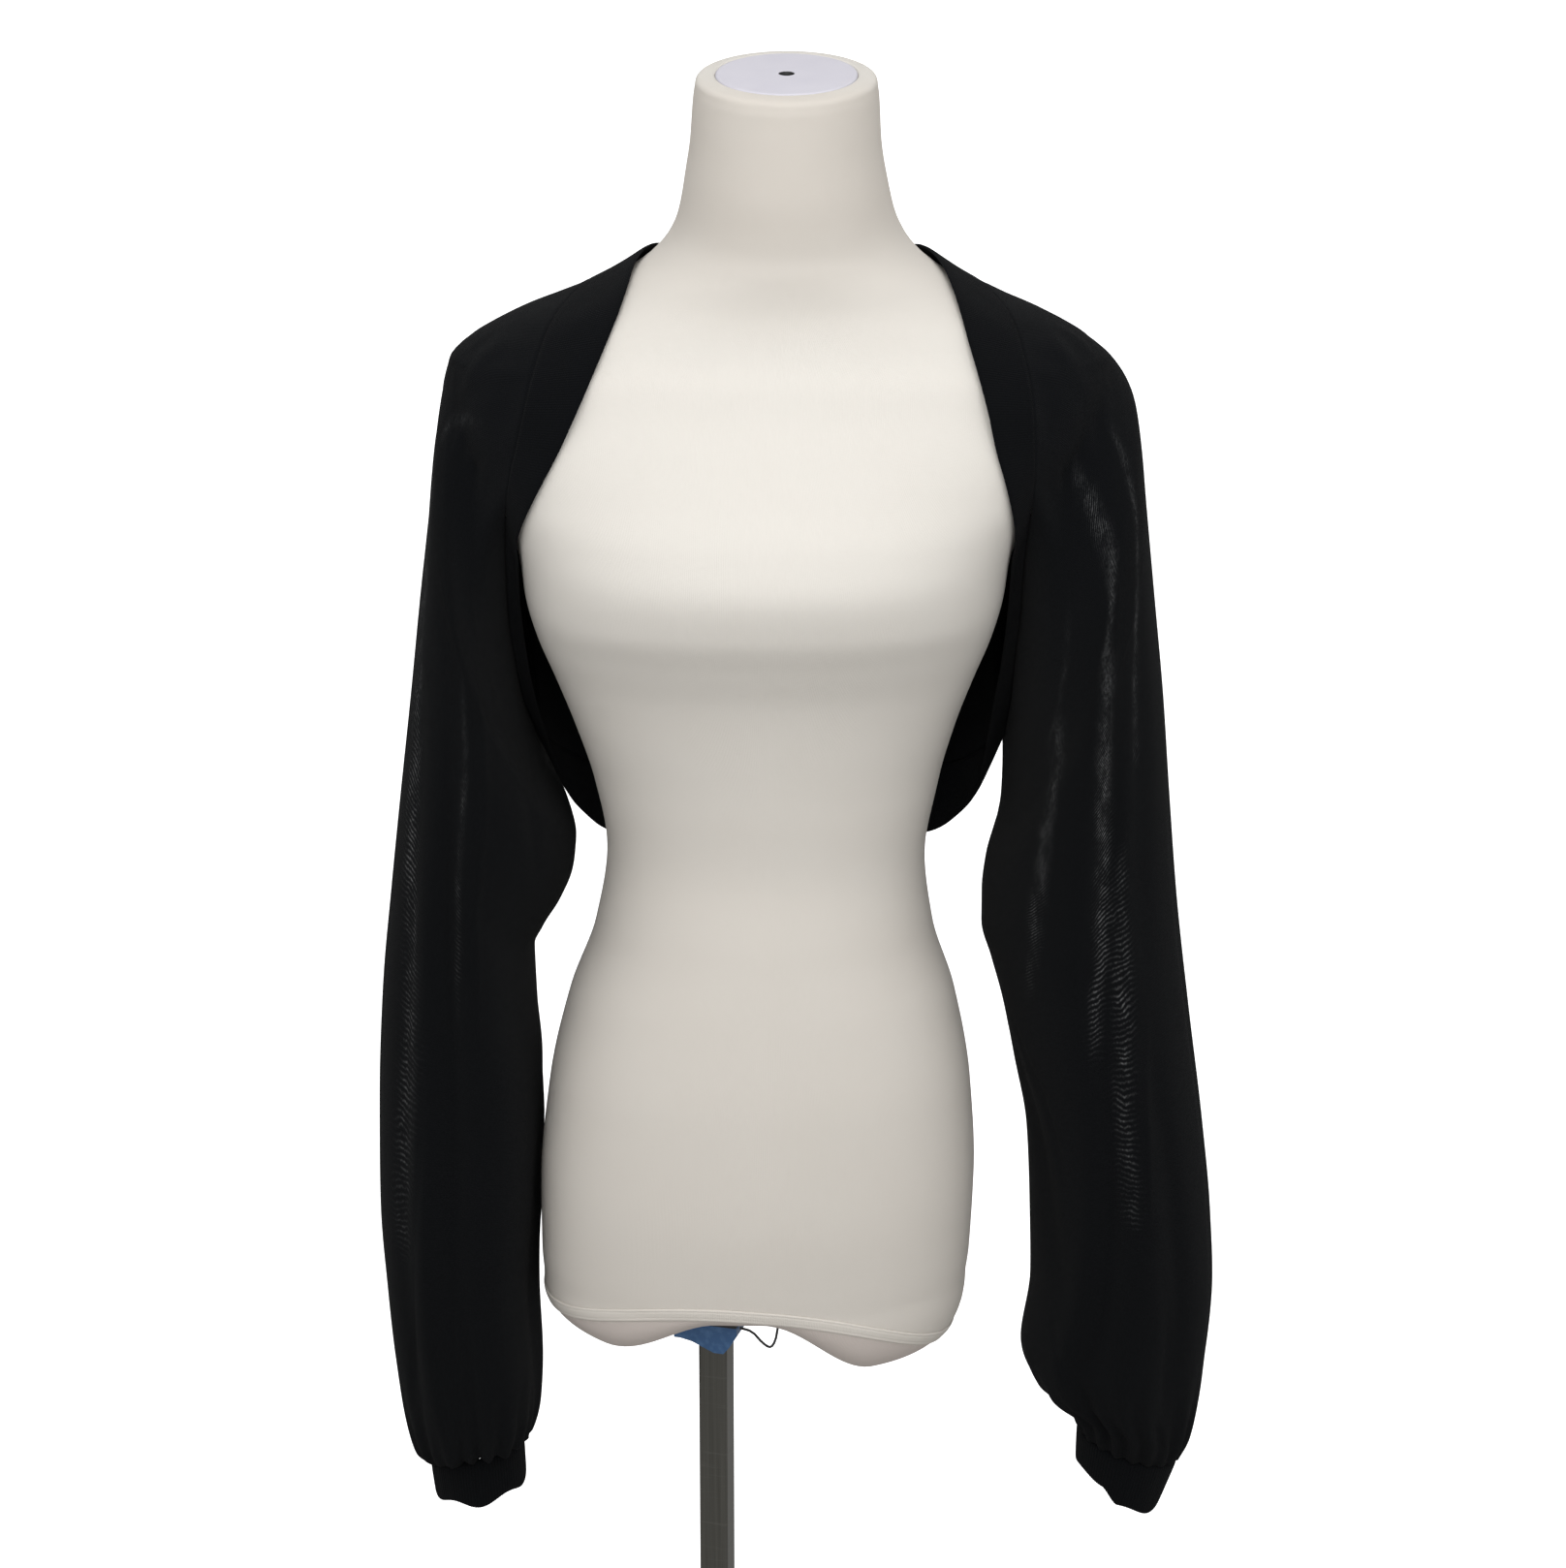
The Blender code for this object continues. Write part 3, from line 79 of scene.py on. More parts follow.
# %% Curve helpers
def smooth(knots, values, at):
    """Run a curve through values at knots, with no overshoot between them."""
    knots = np.asarray(knots, float)
    values = np.asarray(values, float)
    shape = values.shape[1:]
    table = values.reshape(len(knots), -1)
    step = np.diff(knots)[:, None]
    slope = np.diff(table, axis=0) / step
    tangent = np.empty_like(table)
    tangent[0], tangent[-1] = slope[0], slope[-1]
    before, after = slope[:-1], slope[1:]
    same_way = before * after > 0
    total = np.where(same_way, before + after, 1.0)
    tangent[1:-1] = np.where(same_way, 2.0 * before * after / total, 0.0)
    at = np.asarray(at, float)
    span = np.clip(np.searchsorted(knots, at.ravel(), side="right") - 1, 0, len(knots) - 2)
    part = np.clip((at.ravel() - knots[span]) / step[span, 0], 0.0, 1.0)[:, None]
    leave, arrive = tangent[span] * step[span], tangent[span + 1] * step[span]
    start, end = table[span], table[span + 1]
    rise = part * part * (3 - 2 * part)
    bend = part * (1 - part)
    result = start + (end - start) * rise + bend * ((1 - part) * leave - part * arrive)
    return result.reshape(at.shape + shape)


def finer(grid, parts, closed):
    """Put more columns between a grid's own, on a round curve through them."""
    count = grid.shape[1]
    if closed:
        padded = np.concatenate([grid[:, -1:], grid, grid[:, :2]], axis=1)
        total = count * parts
    else:
        first = 2 * grid[:, :1] - grid[:, 1:2]
        last = 2 * grid[:, -1:] - grid[:, -2:-1]
        padded = np.concatenate([first, grid, last, last], axis=1)
        total = (count - 1) * parts + 1
    at = np.arange(total) / parts
    index = np.floor(at).astype(int)
    share = (at - index)[None, :, None]
    a, b, c, d = (padded[:, index + k] for k in range(4))
    cubic = 3 * (b - c) + d - a
    square = 2 * a - 5 * b + 4 * c - d
    return b + 0.5 * share * (c - a + share * (square + share * cubic))


def ease(share):
    """Go from 0 to 1 with a soft start and end."""
    share = np.clip(share, 0.0, 1.0)
    return share * share * (3 - 2 * share)


def unit(vectors):
    """Scale vectors to length 1."""
    return vectors / np.maximum(np.linalg.norm(vectors, axis=-1, keepdims=True), 1e-9)


def grid_normals(grid, closed):
    """Give each grid point's normal, to one side or the other."""
    down = np.gradient(grid, axis=0)
    if closed:
        across = np.roll(grid, -1, axis=1) - np.roll(grid, 1, axis=1)
    else:
        across = np.gradient(grid, axis=1)
    return unit(np.cross(down, across))


def facing(normals, way):
    """Turn all of a grid's normals so that most point along a way."""
    return normals if np.sum(normals * way) > 0 else -normals


print("a curve through 0, 1, 4 at 0.5:", smooth([0, 1, 2], [[0], [1], [4]], [0.5])[0, 0])

# %% [markdown]
# ## The torso's own frame
# The form leans a little to the wearer's left and sways, so it is measured in
# an upright frame of its own and stood up at the end. Its level sections are
# rounded boxes with a front depth and a back depth. The table is the same one
# that the solids were made from.

# %% The form's rows
TOP_HEIGHT = 1.340
LEAN, PIVOT_X, PIVOT_DROP = 0.0262, 0.023, 0.760
# Columns: drop, sway
SWAY_ROWS = np.array([
    (0.0, 0.0), (0.045, 0.0007), (0.07, 0.0018), (0.092, 0.0026), (0.106, 0.0026),
    (0.125, 0.0012), (0.15, 0.0), (0.16, 0.0), (0.27, -0.005), (0.36, -0.003), (0.44, 0.0),
    (1.4, 0.0),
])
# Columns: drop, half_width, front, back, squareness, middle_y, tip
FORM_SECTIONS = np.array([
    (0.0, 0.048, 0.048, 0.048, 2.0, -0.02, 0.15),
    (0.0045, 0.0507, 0.0507, 0.0507, 2.0, -0.02, 0.15),
    (0.012, 0.0517, 0.0517, 0.0517, 2.0, -0.019, 0.15),
    (0.034, 0.0532, 0.054, 0.0545, 2.0, -0.016, 0.15),
    (0.056, 0.0566, 0.057, 0.0565, 2.0, -0.012, 0.13),
    (0.077, 0.061, 0.06, 0.0575, 2.0, -0.006, 0.1),
    (0.09, 0.0668, 0.062, 0.058, 2.0, -0.002, 0.08),
    (0.101, 0.0757, 0.064, 0.0585, 2.0, 0.0, 0.06),
    (0.112, 0.09, 0.065, 0.059, 2.1, 0.002, 0.04),
    (0.125, 0.1135, 0.0655, 0.061, 2.1, 0.003, 0.02),
    (0.139, 0.1465, 0.068, 0.066, 2.2, 0.003, 0.0),
    (0.152, 0.171, 0.072, 0.0715, 2.3, 0.003, 0.0),
    (0.164, 0.184, 0.077, 0.077, 2.4, 0.002, 0.0),
    (0.181, 0.187, 0.083, 0.082, 2.4, 0.001, 0.0),
    (0.2, 0.183, 0.092, 0.086, 2.4, 0.0, 0.0),
    (0.225, 0.167, 0.106, 0.089, 2.4, 0.0, 0.0),
    (0.25, 0.149, 0.12, 0.089, 2.5, 0.0, 0.0),
    (0.272, 0.1415, 0.126, 0.088, 2.5, 0.0, 0.0),
    (0.297, 0.1378, 0.12, 0.085, 2.5, 0.0, 0.0),
    (0.32, 0.132, 0.106, 0.082, 2.4, 0.0, 0.0),
    (0.345, 0.1225, 0.092, 0.079, 2.3, 0.0, 0.0),
    (0.375, 0.1115, 0.083, 0.075, 2.2, 0.0, 0.0),
    (0.411, 0.101, 0.076, 0.07, 2.1, 0.0, 0.0),
    (0.455, 0.0938, 0.071, 0.066, 2.1, 0.0, 0.0),
    (0.5, 0.1, 0.077, 0.076, 2.1, 0.0, 0.0),
    (0.545, 0.115, 0.084, 0.093, 2.2, 0.0, 0.0),
    (0.6, 0.1262, 0.09, 0.106, 2.3, 0.0, 0.0),
    (0.66, 0.1308, 0.092, 0.109, 2.3, 0.0, 0.0),
    (0.705, 0.13, 0.089, 0.102, 2.3, 0.0, 0.0),
    (0.752, 0.124, 0.083, 0.09, 2.3, 0.0, 0.0),
])
print("form sections:", len(FORM_SECTIONS))


# %% Torso frame and clearance
LEVEL_ROUNDS, CLEAR_ROUNDS, PROBE, LONGEST_PUSH = 4, 6, 0.0005, 0.02


def spine(drop):
    """Give the torso's middle at a drop: it leans and sways to one side."""
    return PIVOT_X + LEAN * (PIVOT_DROP - drop) + smooth(SWAY_ROWS[:, 0], SWAY_ROWS[:, 1], drop)


def stand_up(points):
    """Place torso points (x, y, drop) in the world."""
    x = points[..., 0] + spine(points[..., 2])
    return np.stack([x, points[..., 1], TOP_HEIGHT - points[..., 2]], axis=-1)


def lay_back(points):
    """Turn world points into torso points (x, y, drop)."""
    drop = TOP_HEIGHT - points[..., 2]
    return np.stack([points[..., 0] - spine(drop), points[..., 1], drop], axis=-1)


def form_section(drop):
    """Read the form's section columns at a drop."""
    return smooth(FORM_SECTIONS[:, 0], FORM_SECTIONS[:, 1:], drop)


def form_level(points):
    """Say where torso points lie: below 1 inside the form, above 1 outside."""
    level_drop = points[..., 2]
    for _ in range(LEVEL_ROUNDS):
        section = form_section(level_drop)
        level_drop = points[..., 2] + section[..., 5] * (points[..., 1] - section[..., 4])
    half_width, front, back, squareness, middle, _ = np.moveaxis(form_section(level_drop), -1, 0)
    depth = points[..., 1] - middle
    across = (np.abs(points[..., 0]) / half_width) ** squareness
    along = (np.abs(depth) / np.where(depth < 0, front, back)) ** squareness
    return (across + along) ** (1.0 / squareness)


def clear_of_form(points, gap):
    """Move torso points that are too near the form straight out of it."""
    points = points.copy()
    for _ in range(CLEAR_ROUNDS):
        level = form_level(points)
        slope = np.empty_like(points)
        for axis in range(3):
            shift = np.zeros(3)
            shift[axis] = PROBE
            slope[..., axis] = (form_level(points + shift) - form_level(points - shift)) / (2 * PROBE)
        steep = np.maximum(np.linalg.norm(slope, axis=-1), 1e-6)
        short = np.maximum(gap - (level - 1.0) / steep, 0.0)
        points += slope / steep[..., None] * np.minimum(short, LONGEST_PUSH)[..., None]
    return points


def clear_in_world(points, gap):
    """Do the same for points in the world."""
    return stand_up(clear_of_form(lay_back(points), gap))


print("torso's middle at the bust, x:", round(float(spine(0.272)), 4))

# %% [markdown]
# ## Turning grids into cloth
# A sheet of cloth is a grid of outer points and the same grid moved inwards by
# the cloth's thickness, closed along its edges. The grid also carries the flat
# coordinates of the cloth in metres as a UV map, so that knit stitches keep
# their size and run the way the yarn does, and any numbers that the finish
# needs, such as where the cloth is stretched sheer.

# %% Mesh helpers
def link_piece(name, mesh, angle=None):
    """Put a mesh in the scene as one piece, shaded smooth."""
    piece = bpy.data.objects.new(name, mesh)
    bpy.context.scene.collection.objects.link(piece)
    mesh.shade_smooth()
    if angle is not None:
        mesh.set_sharp_from_angle(angle=math.radians(angle))
    return piece


def grid_faces(rows, columns, closed):
    """List a grid's faces, and each corner's row and column before wrapping."""
    steps = columns if closed else columns - 1
    i, j = np.meshgrid(np.arange(rows - 1), np.arange(steps), indexing="ij")
    row = np.stack([i, i, i + 1, i + 1], axis=-1).reshape(-1, 4)
    column = np.stack([j, j + 1, j + 1, j], axis=-1).reshape(-1, 4)
    return row * columns + column % columns, row, column


def face_out(mesh):
    """Turn all of a closed mesh's faces outwards."""
    shape = bmesh.new()
    shape.from_mesh(mesh)
    bmesh.ops.recalc_face_normals(shape, faces=shape.faces)
    shape.to_mesh(mesh)
    shape.free()
    return mesh


def add_mark(mesh, name, values):
    """Let a mesh carry one number at each point, for its finish."""
    mesh.attributes.new(name, "FLOAT", "POINT").data.foreach_set("value", values)


def cloth_mesh(name, outer, inner, closed, flat, marks=None):
    """Make a sheet from its outer and inner grids, with its flat UV map."""
    rows, columns = outer.shape[:2]
    count = rows * columns
    faces, row, column = grid_faces(rows, columns, closed)
    last = (rows - 1) * columns
    rim = []
    steps = columns if closed else columns - 1
    for j in range(steps):
        k = (j + 1) % columns
        for edge in (0, last):
            corners = edge + j, edge + k, edge + k + count, edge + j + count
            rim.append((corners, (edge // columns,) * 4, (j, j + 1, j + 1, j)))
    if not closed:
        for i in range(rows - 1):
            for side in (0, columns - 1):
                a, b = i * columns + side, (i + 1) * columns + side
                rim.append(((a, b, b + count, a + count), (i, i + 1, i + 1, i), (side,) * 4))
    rim_faces, rim_row, rim_column = (np.array([part[k] for part in rim]) for k in range(3))
    faces = np.concatenate([faces, faces + count, rim_faces])
    row = np.concatenate([row, row, rim_row])
    column = np.concatenate([column, column, rim_column])
    mesh = bpy.data.meshes.new(name)
    points = np.concatenate([outer.reshape(-1, 3), inner.reshape(-1, 3)])
    mesh.from_pydata(points.tolist(), [], faces.tolist())
    layer = mesh.uv_layers.new(name="flat")
    u = column * (flat[0] / steps)
    v = row * (flat[1] / (rows - 1))
    layer.data.foreach_set("uv", np.stack([u, v], axis=-1).ravel())
    for mark, values in (marks or {}).items():
        add_mark(mesh, mark, np.tile(values.ravel(), 2))
    return face_out(mesh)


def rings_mesh(name, rings, top_point=None, bottom_point=None, girth=None):
    """Make a solid of turned rings, closed by a point at each end or hollow."""
    rings = np.asarray(rings)
    faces, row, column = grid_faces(len(rings), rings.shape[1], True)
    faces = faces.tolist()
    points = rings.reshape(-1, 3).tolist()
    count = rings.shape[1]
    last = (len(rings) - 1) * count
    if top_point is None:
        faces += [(last + j, last + (j + 1) % count, (j + 1) % count, j) for j in range(count)]
    else:
        points += [tuple(top_point), tuple(bottom_point)]
        for j in range(count):
            k = (j + 1) % count
            faces.append((j, k, len(points) - 2))
            faces.append((last + k, last + j, len(points) - 1))
    mesh = bpy.data.meshes.new(name)
    mesh.from_pydata(points, [], faces)
    if girth:
        steps = np.linalg.norm(np.diff(rings, axis=0), axis=-1).mean(axis=1)
        down = np.concatenate([[0.0], np.cumsum(steps)])
        flat = np.zeros((len(mesh.loops), 2))
        flat[:row.size] = np.stack([column.ravel() * (girth / count), down[row.ravel()]], axis=-1)
        mesh.uv_layers.new(name="flat").data.foreach_set("uv", flat.ravel())
    return face_out(mesh)


def stand_for(piece, node):
    """Let a piece take a solid's place: hang it under the root and hide the solid."""
    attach(piece, "root")
    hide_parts(node)
    print(piece.name, "stands for", node, "with", len(piece.data.polygons), "faces")


# %% [markdown]
# ## The form's cover
# A stretch jersey is pulled over a foam body: it bridges the bust in one soft
# mound, narrows to the waist and swells over the hips, and ends in two thigh
# stubs with a dip between them. It could be sculpted, but rings read from the
# section table give the same surface with no lumps, at any fineness. The
# neck's rim rolls over into the recess of the cap.

# %% Rings of the form
FORM_SIDES, LIP_LINES, COLLAR_LINES, BODY_LINES, LOW_LINES = 144, 37, 6, 180, 9
FIT_GAP = 0.0003
LAST_LEVEL_DROP, RIM_DROP = 0.690, 0.722
LOBE_DROP, LOBE_TILT, LOBE_SQUARENESS, LOBE_ROUND = 0.7703, 0.078, 4.2, 2.7
LOBE_MIDDLE, LOBE_START, LOBE_RUN = -0.0088, 0.0132, 0.0676
VALLEY_DROP, VALLEY_ROUND = 0.7405, 1.2
CAP_RADIUS, CAP_RECESS, CAP_THICKNESS = 0.0394, 0.0008, 0.0026
CAP_HOLE_RADIUS, CAP_HOLE_DEPTH = 0.0043, 0.0120
# Columns: radius, depth below the neck's top
LIP_ROWS = ((CAP_RADIUS + FIT_GAP, -0.0012), (0.0408, -0.0018), (0.0440, -0.0015), (0.0480, -0.0007),
            (0.0496, 0.0003), (0.0504, 0.0019), (0.0507, 0.0045))
UNDERSIDE_RINGS, UNDERSIDE_START = 40, 1.2


def form_ring(drop, sides=FORM_SIDES):
    """Give one ring of the form's skin as torso points."""
    half_width, front, back, squareness, middle, tip = form_section(drop)
    turn = 2 * np.pi * np.arange(sides) / sides
    power = 2.0 / squareness
    x = half_width * np.sign(np.cos(turn)) * np.abs(np.cos(turn)) ** power
    reach = np.where(np.sin(turn) < 0, front, back)
    depth = reach * np.sign(np.sin(turn)) * np.abs(np.sin(turn)) ** power
    return np.stack([x, middle + depth, drop - tip * depth], axis=-1)


def underside_rings(rim):
    """Close the form below its rim with two round thigh stubs and a valley."""
    rings = []
    for step in range(1, UNDERSIDE_RINGS):
        swing = 0.5 * np.pi * (step / UNDERSIDE_RINGS) ** UNDERSIDE_START
        near = math.cos(swing)
        ring = rim.copy()
        ring[:, :2] *= near
        lobe = ease((np.abs(ring[:, 0] - LOBE_MIDDLE) - LOBE_START) / LOBE_RUN)
        round_share = (1 - near ** LOBE_SQUARENESS) ** (1 / LOBE_ROUND)
        stub = (LOBE_DROP + LOBE_TILT * ring[:, 0] - rim[:, 2]) * round_share
        valley = (VALLEY_DROP - rim[:, 2]) * math.sin(swing) ** VALLEY_ROUND
        ring[:, 2] = rim[:, 2] + valley + (stub - valley) * lobe
        rings.append(ring)
    return rings


def neck_rings():
    """Roll the neck's rim over into the cap's recess, with its screw hole."""
    edge = form_ring(0.0)
    middle = np.array([0.0, FORM_SECTIONS[0, 5], 0.0])
    rolled = smooth(range(len(LIP_ROWS)), LIP_ROWS, np.linspace(0, len(LIP_ROWS) - 1, LIP_LINES)[:-1])
    rows = [(CAP_HOLE_RADIUS, CAP_RECESS + CAP_HOLE_DEPTH), (CAP_HOLE_RADIUS, CAP_RECESS),
            (CAP_RADIUS + FIT_GAP, CAP_RECESS), *rolled]
    rings = []
    for radius, sink in rows:
        ring = middle + (edge - middle) * (radius / FORM_SECTIONS[0, 1])
        ring[:, 2] = -FORM_SECTIONS[0, 6] * (ring[:, 1] - middle[1]) + sink
        rings.append(ring)
    return rings


def surface_ring(rings, drops):
    """Find where each column of the form's rings first reaches a drop."""
    ring = np.empty((len(drops), 3))
    for column, drop in enumerate(drops):
        line = rings[:, column]
        upper = int(np.argmax(line[1:, 2] >= drop))
        share = (drop - line[upper, 2]) / (line[upper + 1, 2] - line[upper, 2])
        ring[column] = line[upper] + (line[upper + 1] - line[upper]) * share
    return ring


# %% Build the form's cover
HEM_TOP_DROP, HEM_TILT, HEM_LIFT, HEM_LIFT_REACH, HEM_LIFT_POWER = 0.742, 0.085, 0.0265, 0.087, 3.3
HEM_DEPTH, BARE_FADE, COVER_GIRTH = 0.008, 0.002, 0.75
collar_top, collar_end = FORM_SECTIONS[1:3, 0]
levels = np.concatenate([np.linspace(collar_top, collar_end, COLLAR_LINES)[:-1],
                         np.linspace(collar_end, RIM_DROP, BODY_LINES)])
rim = form_ring(RIM_DROP)
low_rings = np.array([form_ring(drop) for drop in np.linspace(LAST_LEVEL_DROP, RIM_DROP, LOW_LINES)]
                     + underside_rings(rim))
form_rings = np.array(neck_rings() + [form_ring(drop) for drop in levels] + underside_rings(rim))
lift = np.minimum(np.abs(rim[:, 1]) / HEM_LIFT_REACH, 1.0) ** HEM_LIFT_POWER
hem_top = HEM_TOP_DROP + HEM_TILT * rim[:, 0] - HEM_LIFT * lift
cap_middle = np.array([0.0, FORM_SECTIONS[0, 5], CAP_RECESS + CAP_HOLE_DEPTH])
ends = stand_up(np.array([cap_middle, (0.0, 0.0, VALLEY_DROP)]))
cover_mesh = rings_mesh("form_cover", stand_up(form_rings), *ends, girth=COVER_GIRTH)
bare = ease((form_rings[..., 2] - hem_top - HEM_DEPTH) / BARE_FADE + 0.5).ravel()
# Points of the screw hole's wall, which the finish paints dark as painted shade
hole = np.repeat(np.arange(len(form_rings)) < 2, FORM_SIDES).astype(float)
for mark, values, tips in (("bare", bare, (0.0, 1.0)), ("hole", hole, (1.0, 0.0))):
    add_mark(cover_mesh, mark, np.append(values, tips))
cover = link_piece("form_cover", cover_mesh)
stand_for(cover, "form_body")

# %% [markdown]
# ## The cover's hem and the neck's cap
# The cover ends in a turned hem about 8 mm deep. It is high across the front
# and the back and runs lower over the outside of each thigh stub. On the real
# cover it is the same jersey folded under and stitched, so it is laid here as
# a strip that follows the cover's own surface, proud by less than a millimetre,
# with the stitching as a groove along it. The cap is a thin disc with a small
# hole, let into the neck.

# %% Hem of the cover
HEM_PROUD, HEM_INNER, HEM_ROWS, HEM_CUT_DEPTH = 0.0009, 0.0001, 17, 0.010
# Stitch lines. Columns: place down the hem, depth as a share of its height
STITCHES, STITCH_WIDTH = ((0.2, 0.4), (0.72, 0.25)), 0.05
shares = np.linspace(0.0, 1.0, HEM_ROWS)
grid = stand_up(np.array([surface_ring(low_rings, hem_top + HEM_DEPTH * share) for share in shares]))
normals = facing(grid_normals(grid, True), grid - grid.mean(axis=(0, 1)))
swell = np.sqrt(np.clip(1 - np.abs(2 * shares - 1) ** 6, 0.0, 1.0))
groove = sum(deep * np.exp(-(((shares - place) / STITCH_WIDTH) ** 2)) for place, deep in STITCHES)
proud = FIT_GAP + HEM_PROUD * np.clip(swell - groove, 0.1, 1.0)
outer = grid + normals * proud[:, None, None]
hem_length = float(np.linalg.norm(outer[0] - np.roll(outer[0], 1, axis=0), axis=-1).sum())
inner = grid + normals * HEM_INNER
hem_mesh = cloth_mesh("hem_of_cover", outer, inner, True, (hem_length, HEM_CUT_DEPTH))
hem = link_piece("hem_of_cover", hem_mesh)
stand_for(hem, "cover_hem")

# %% Cap of the neck
CAP_SIDES = 96
# Columns: radius, height below the cap's face
CAP_PROFILE = (
    (CAP_HOLE_RADIUS, 0.0022), (CAP_HOLE_RADIUS, 0.0004), (CAP_HOLE_RADIUS + 0.0003, 0.0),
    (CAP_HOLE_RADIUS + 0.0008, 0.0), (CAP_RADIUS - 0.0020, 0.0), (CAP_RADIUS - 0.0012, 0.0),
    (CAP_RADIUS - 0.0003, 0.0003), (CAP_RADIUS, 0.0010),
    (CAP_RADIUS, CAP_THICKNESS), (CAP_HOLE_RADIUS, CAP_THICKNESS),
)
turn = 2 * np.pi * np.arange(CAP_SIDES) / CAP_SIDES
cap_rings = []
for radius, sink in CAP_PROFILE:
    y = radius * np.sin(turn)
    face = CAP_RECESS - FIT_GAP - CAP_THICKNESS
    low = face - FORM_SECTIONS[0, 6] * y + sink
    cap_rings.append(stand_up(np.stack([radius * np.cos(turn), FORM_SECTIONS[0, 5] + y, low], axis=-1)))
cap_mesh = rings_mesh("cap_disc", cap_rings)
# The hole's wall, which the finish paints dark as painted shade
bore_shade = [float(radius == CAP_HOLE_RADIUS) for radius, _ in CAP_PROFILE]
add_mark(cap_mesh, "hole", np.repeat(bore_shade, CAP_SIDES))
cap = link_piece("cap_disc", cap_mesh, angle=50)
stand_for(cap, "neck_cap")

# %% [markdown]
# ## The shrug's rows
# The garment hangs open down the front: one doubled band runs round the whole
# opening, and each sleeve is cut in one with the front of the shoulder. The
# rows below are those of the solids, so that each finer sheet lies where its
# solid does.

# %% Band, back and sleeve rows
KNIT, BAND_WALL = 0.0014, 0.0024
SKIN_GAP, SHOULDER_GAP, DRAPE_GAP = 0.0021, 0.0024, 0.0016
# Columns: free_x, free_y, free_drop, seam_x, seam_y, seam_drop, free_shift, left_extra
BAND_ROWS = np.array([
    (0.0, 0.066, 0.118, 0.0, 0.084, 0.158, 0.0, 0.0),
    (0.045, 0.06, 0.115, 0.058, 0.082, 0.153, 0.0, 0.0),
    (0.078, 0.012, 0.104, 0.111, 0.006, 0.124, 0.001, 0.0),
    (0.0912, -0.035, 0.122, 0.129, -0.037, 0.138, 0.0038, 0.002),
    (0.1045, -0.065, 0.153, 0.138, -0.061, 0.163, 0.0031, 0.0016),
    (0.119, -0.08, 0.192, 0.143, -0.07, 0.192, 0.0015, 0.001),
    (0.1297, -0.074, 0.228, 0.146, -0.069, 0.22, 0.0013, 0.0),
    (0.1373, -0.052, 0.262, 0.147, -0.056, 0.246, 0.0, 0.0),
    (0.14, -0.032, 0.295, 0.147, -0.042, 0.272, 0.0, 0.0),
    (0.138, -0.014, 0.33, 0.147, -0.028, 0.302, 0.0, 0.0),
    (0.134, 0.004, 0.366, 0.145, -0.014, 0.333, 0.0, 0.0),
    (0.128, 0.023, 0.402, 0.142, 0.004, 0.364, 0.0, 0.002),
    (0.12, 0.042, 0.436, 0.135, 0.026, 0.394, 0.0, 0.006),
    (0.099, 0.062, 0.464, 0.112, 0.055, 0.418, 0.0, 0.007),
    (0.055, 0.078, 0.477, 0.06, 0.078, 0.433, 0.0, 0.002),
    (0.0, 0.083, 0.48, 0.0, 0.084, 0.437, 0.0, 0.0),
])
SHOULDER_ROW, UNDERARM_ROW, BAND_SPANS, HALF_ARMHOLE, HALF_BACK = 2, 12, 3, 20, 7
# Columns: x, y, drop
BACK_SEAM_ROWS = np.array([
    (0.139, 0.058, 0.36), (0.146, 0.08, 0.31), (0.148, 0.088, 0.26),
    (0.145, 0.088, 0.21), (0.134, 0.07, 0.16),
])
# Columns: drop, deep
BACK_DEPTH_ROWS = np.array([
    (0.12, 0.07), (0.16, 0.085), (0.21, 0.092), (0.27, 0.094), (0.35, 0.092), (0.44, 0.086),
])
BACK_ROUND_WIDTH, BACK_SQUARENESS, BACK_EDGE_FADE = 0.185, 2.6, 5
# Columns: out, out_drop, in, in_drop, front_y, back_y, bow, lift
SLEEVE_RIGHT = np.array([
    (0.114, 0.1385, 0.1, 0.41, -0.058, 0.092, 0.026, 0.0),
    (0.143, 0.1572, 0.089, 0.432, -0.066, 0.092, 0.026, 0.0),
    (0.155, 0.19, 0.0815, 0.451, -0.069, 0.088, 0.024, 0.0),
    (0.1612, 0.24, 0.0835, 0.47, -0.069, 0.082, 0.02, 0.0),
    (0.169, 0.3, 0.091, 0.488, -0.067, 0.077, 0.014, 0.0),
    (0.1762, 0.36, 0.101, 0.504, -0.065, 0.073, 0.008, 0.0),
    (0.1838, 0.42, 0.107, 0.519, -0.064, 0.07, 0.004, 0.0),
    (0.1911, 0.48, 0.106, 0.553, -0.063, 0.068, 0.002, 0.0),
    (0.1977, 0.54, 0.1035, 0.588, -0.063, 0.066, 0.0, 0.0),
    (0.2018, 0.61, 0.1015, 0.632, -0.063, 0.065, 0.0, 0.0),
    (0.2032, 0.68, 0.104, 0.686, -0.063, 0.064, 0.0, 0.0),
    (0.2006, 0.735, 0.1078, 0.737, -0.061, 0.062, 0.0, 0.0),
    (0.197, 0.785, 0.1065, 0.784, -0.056, 0.058, 0.0, 0.0),
    (0.192, 0.822, 0.1088, 0.816, -0.049, 0.051, 0.0, 0.0),
    (0.1848, 0.848, 0.115, 0.836, -0.039, 0.041, 0.0, 0.002),
    (0.1775, 0.856, 0.1195, 0.841, -0.03, 0.032, 0.0, 0.006),
])
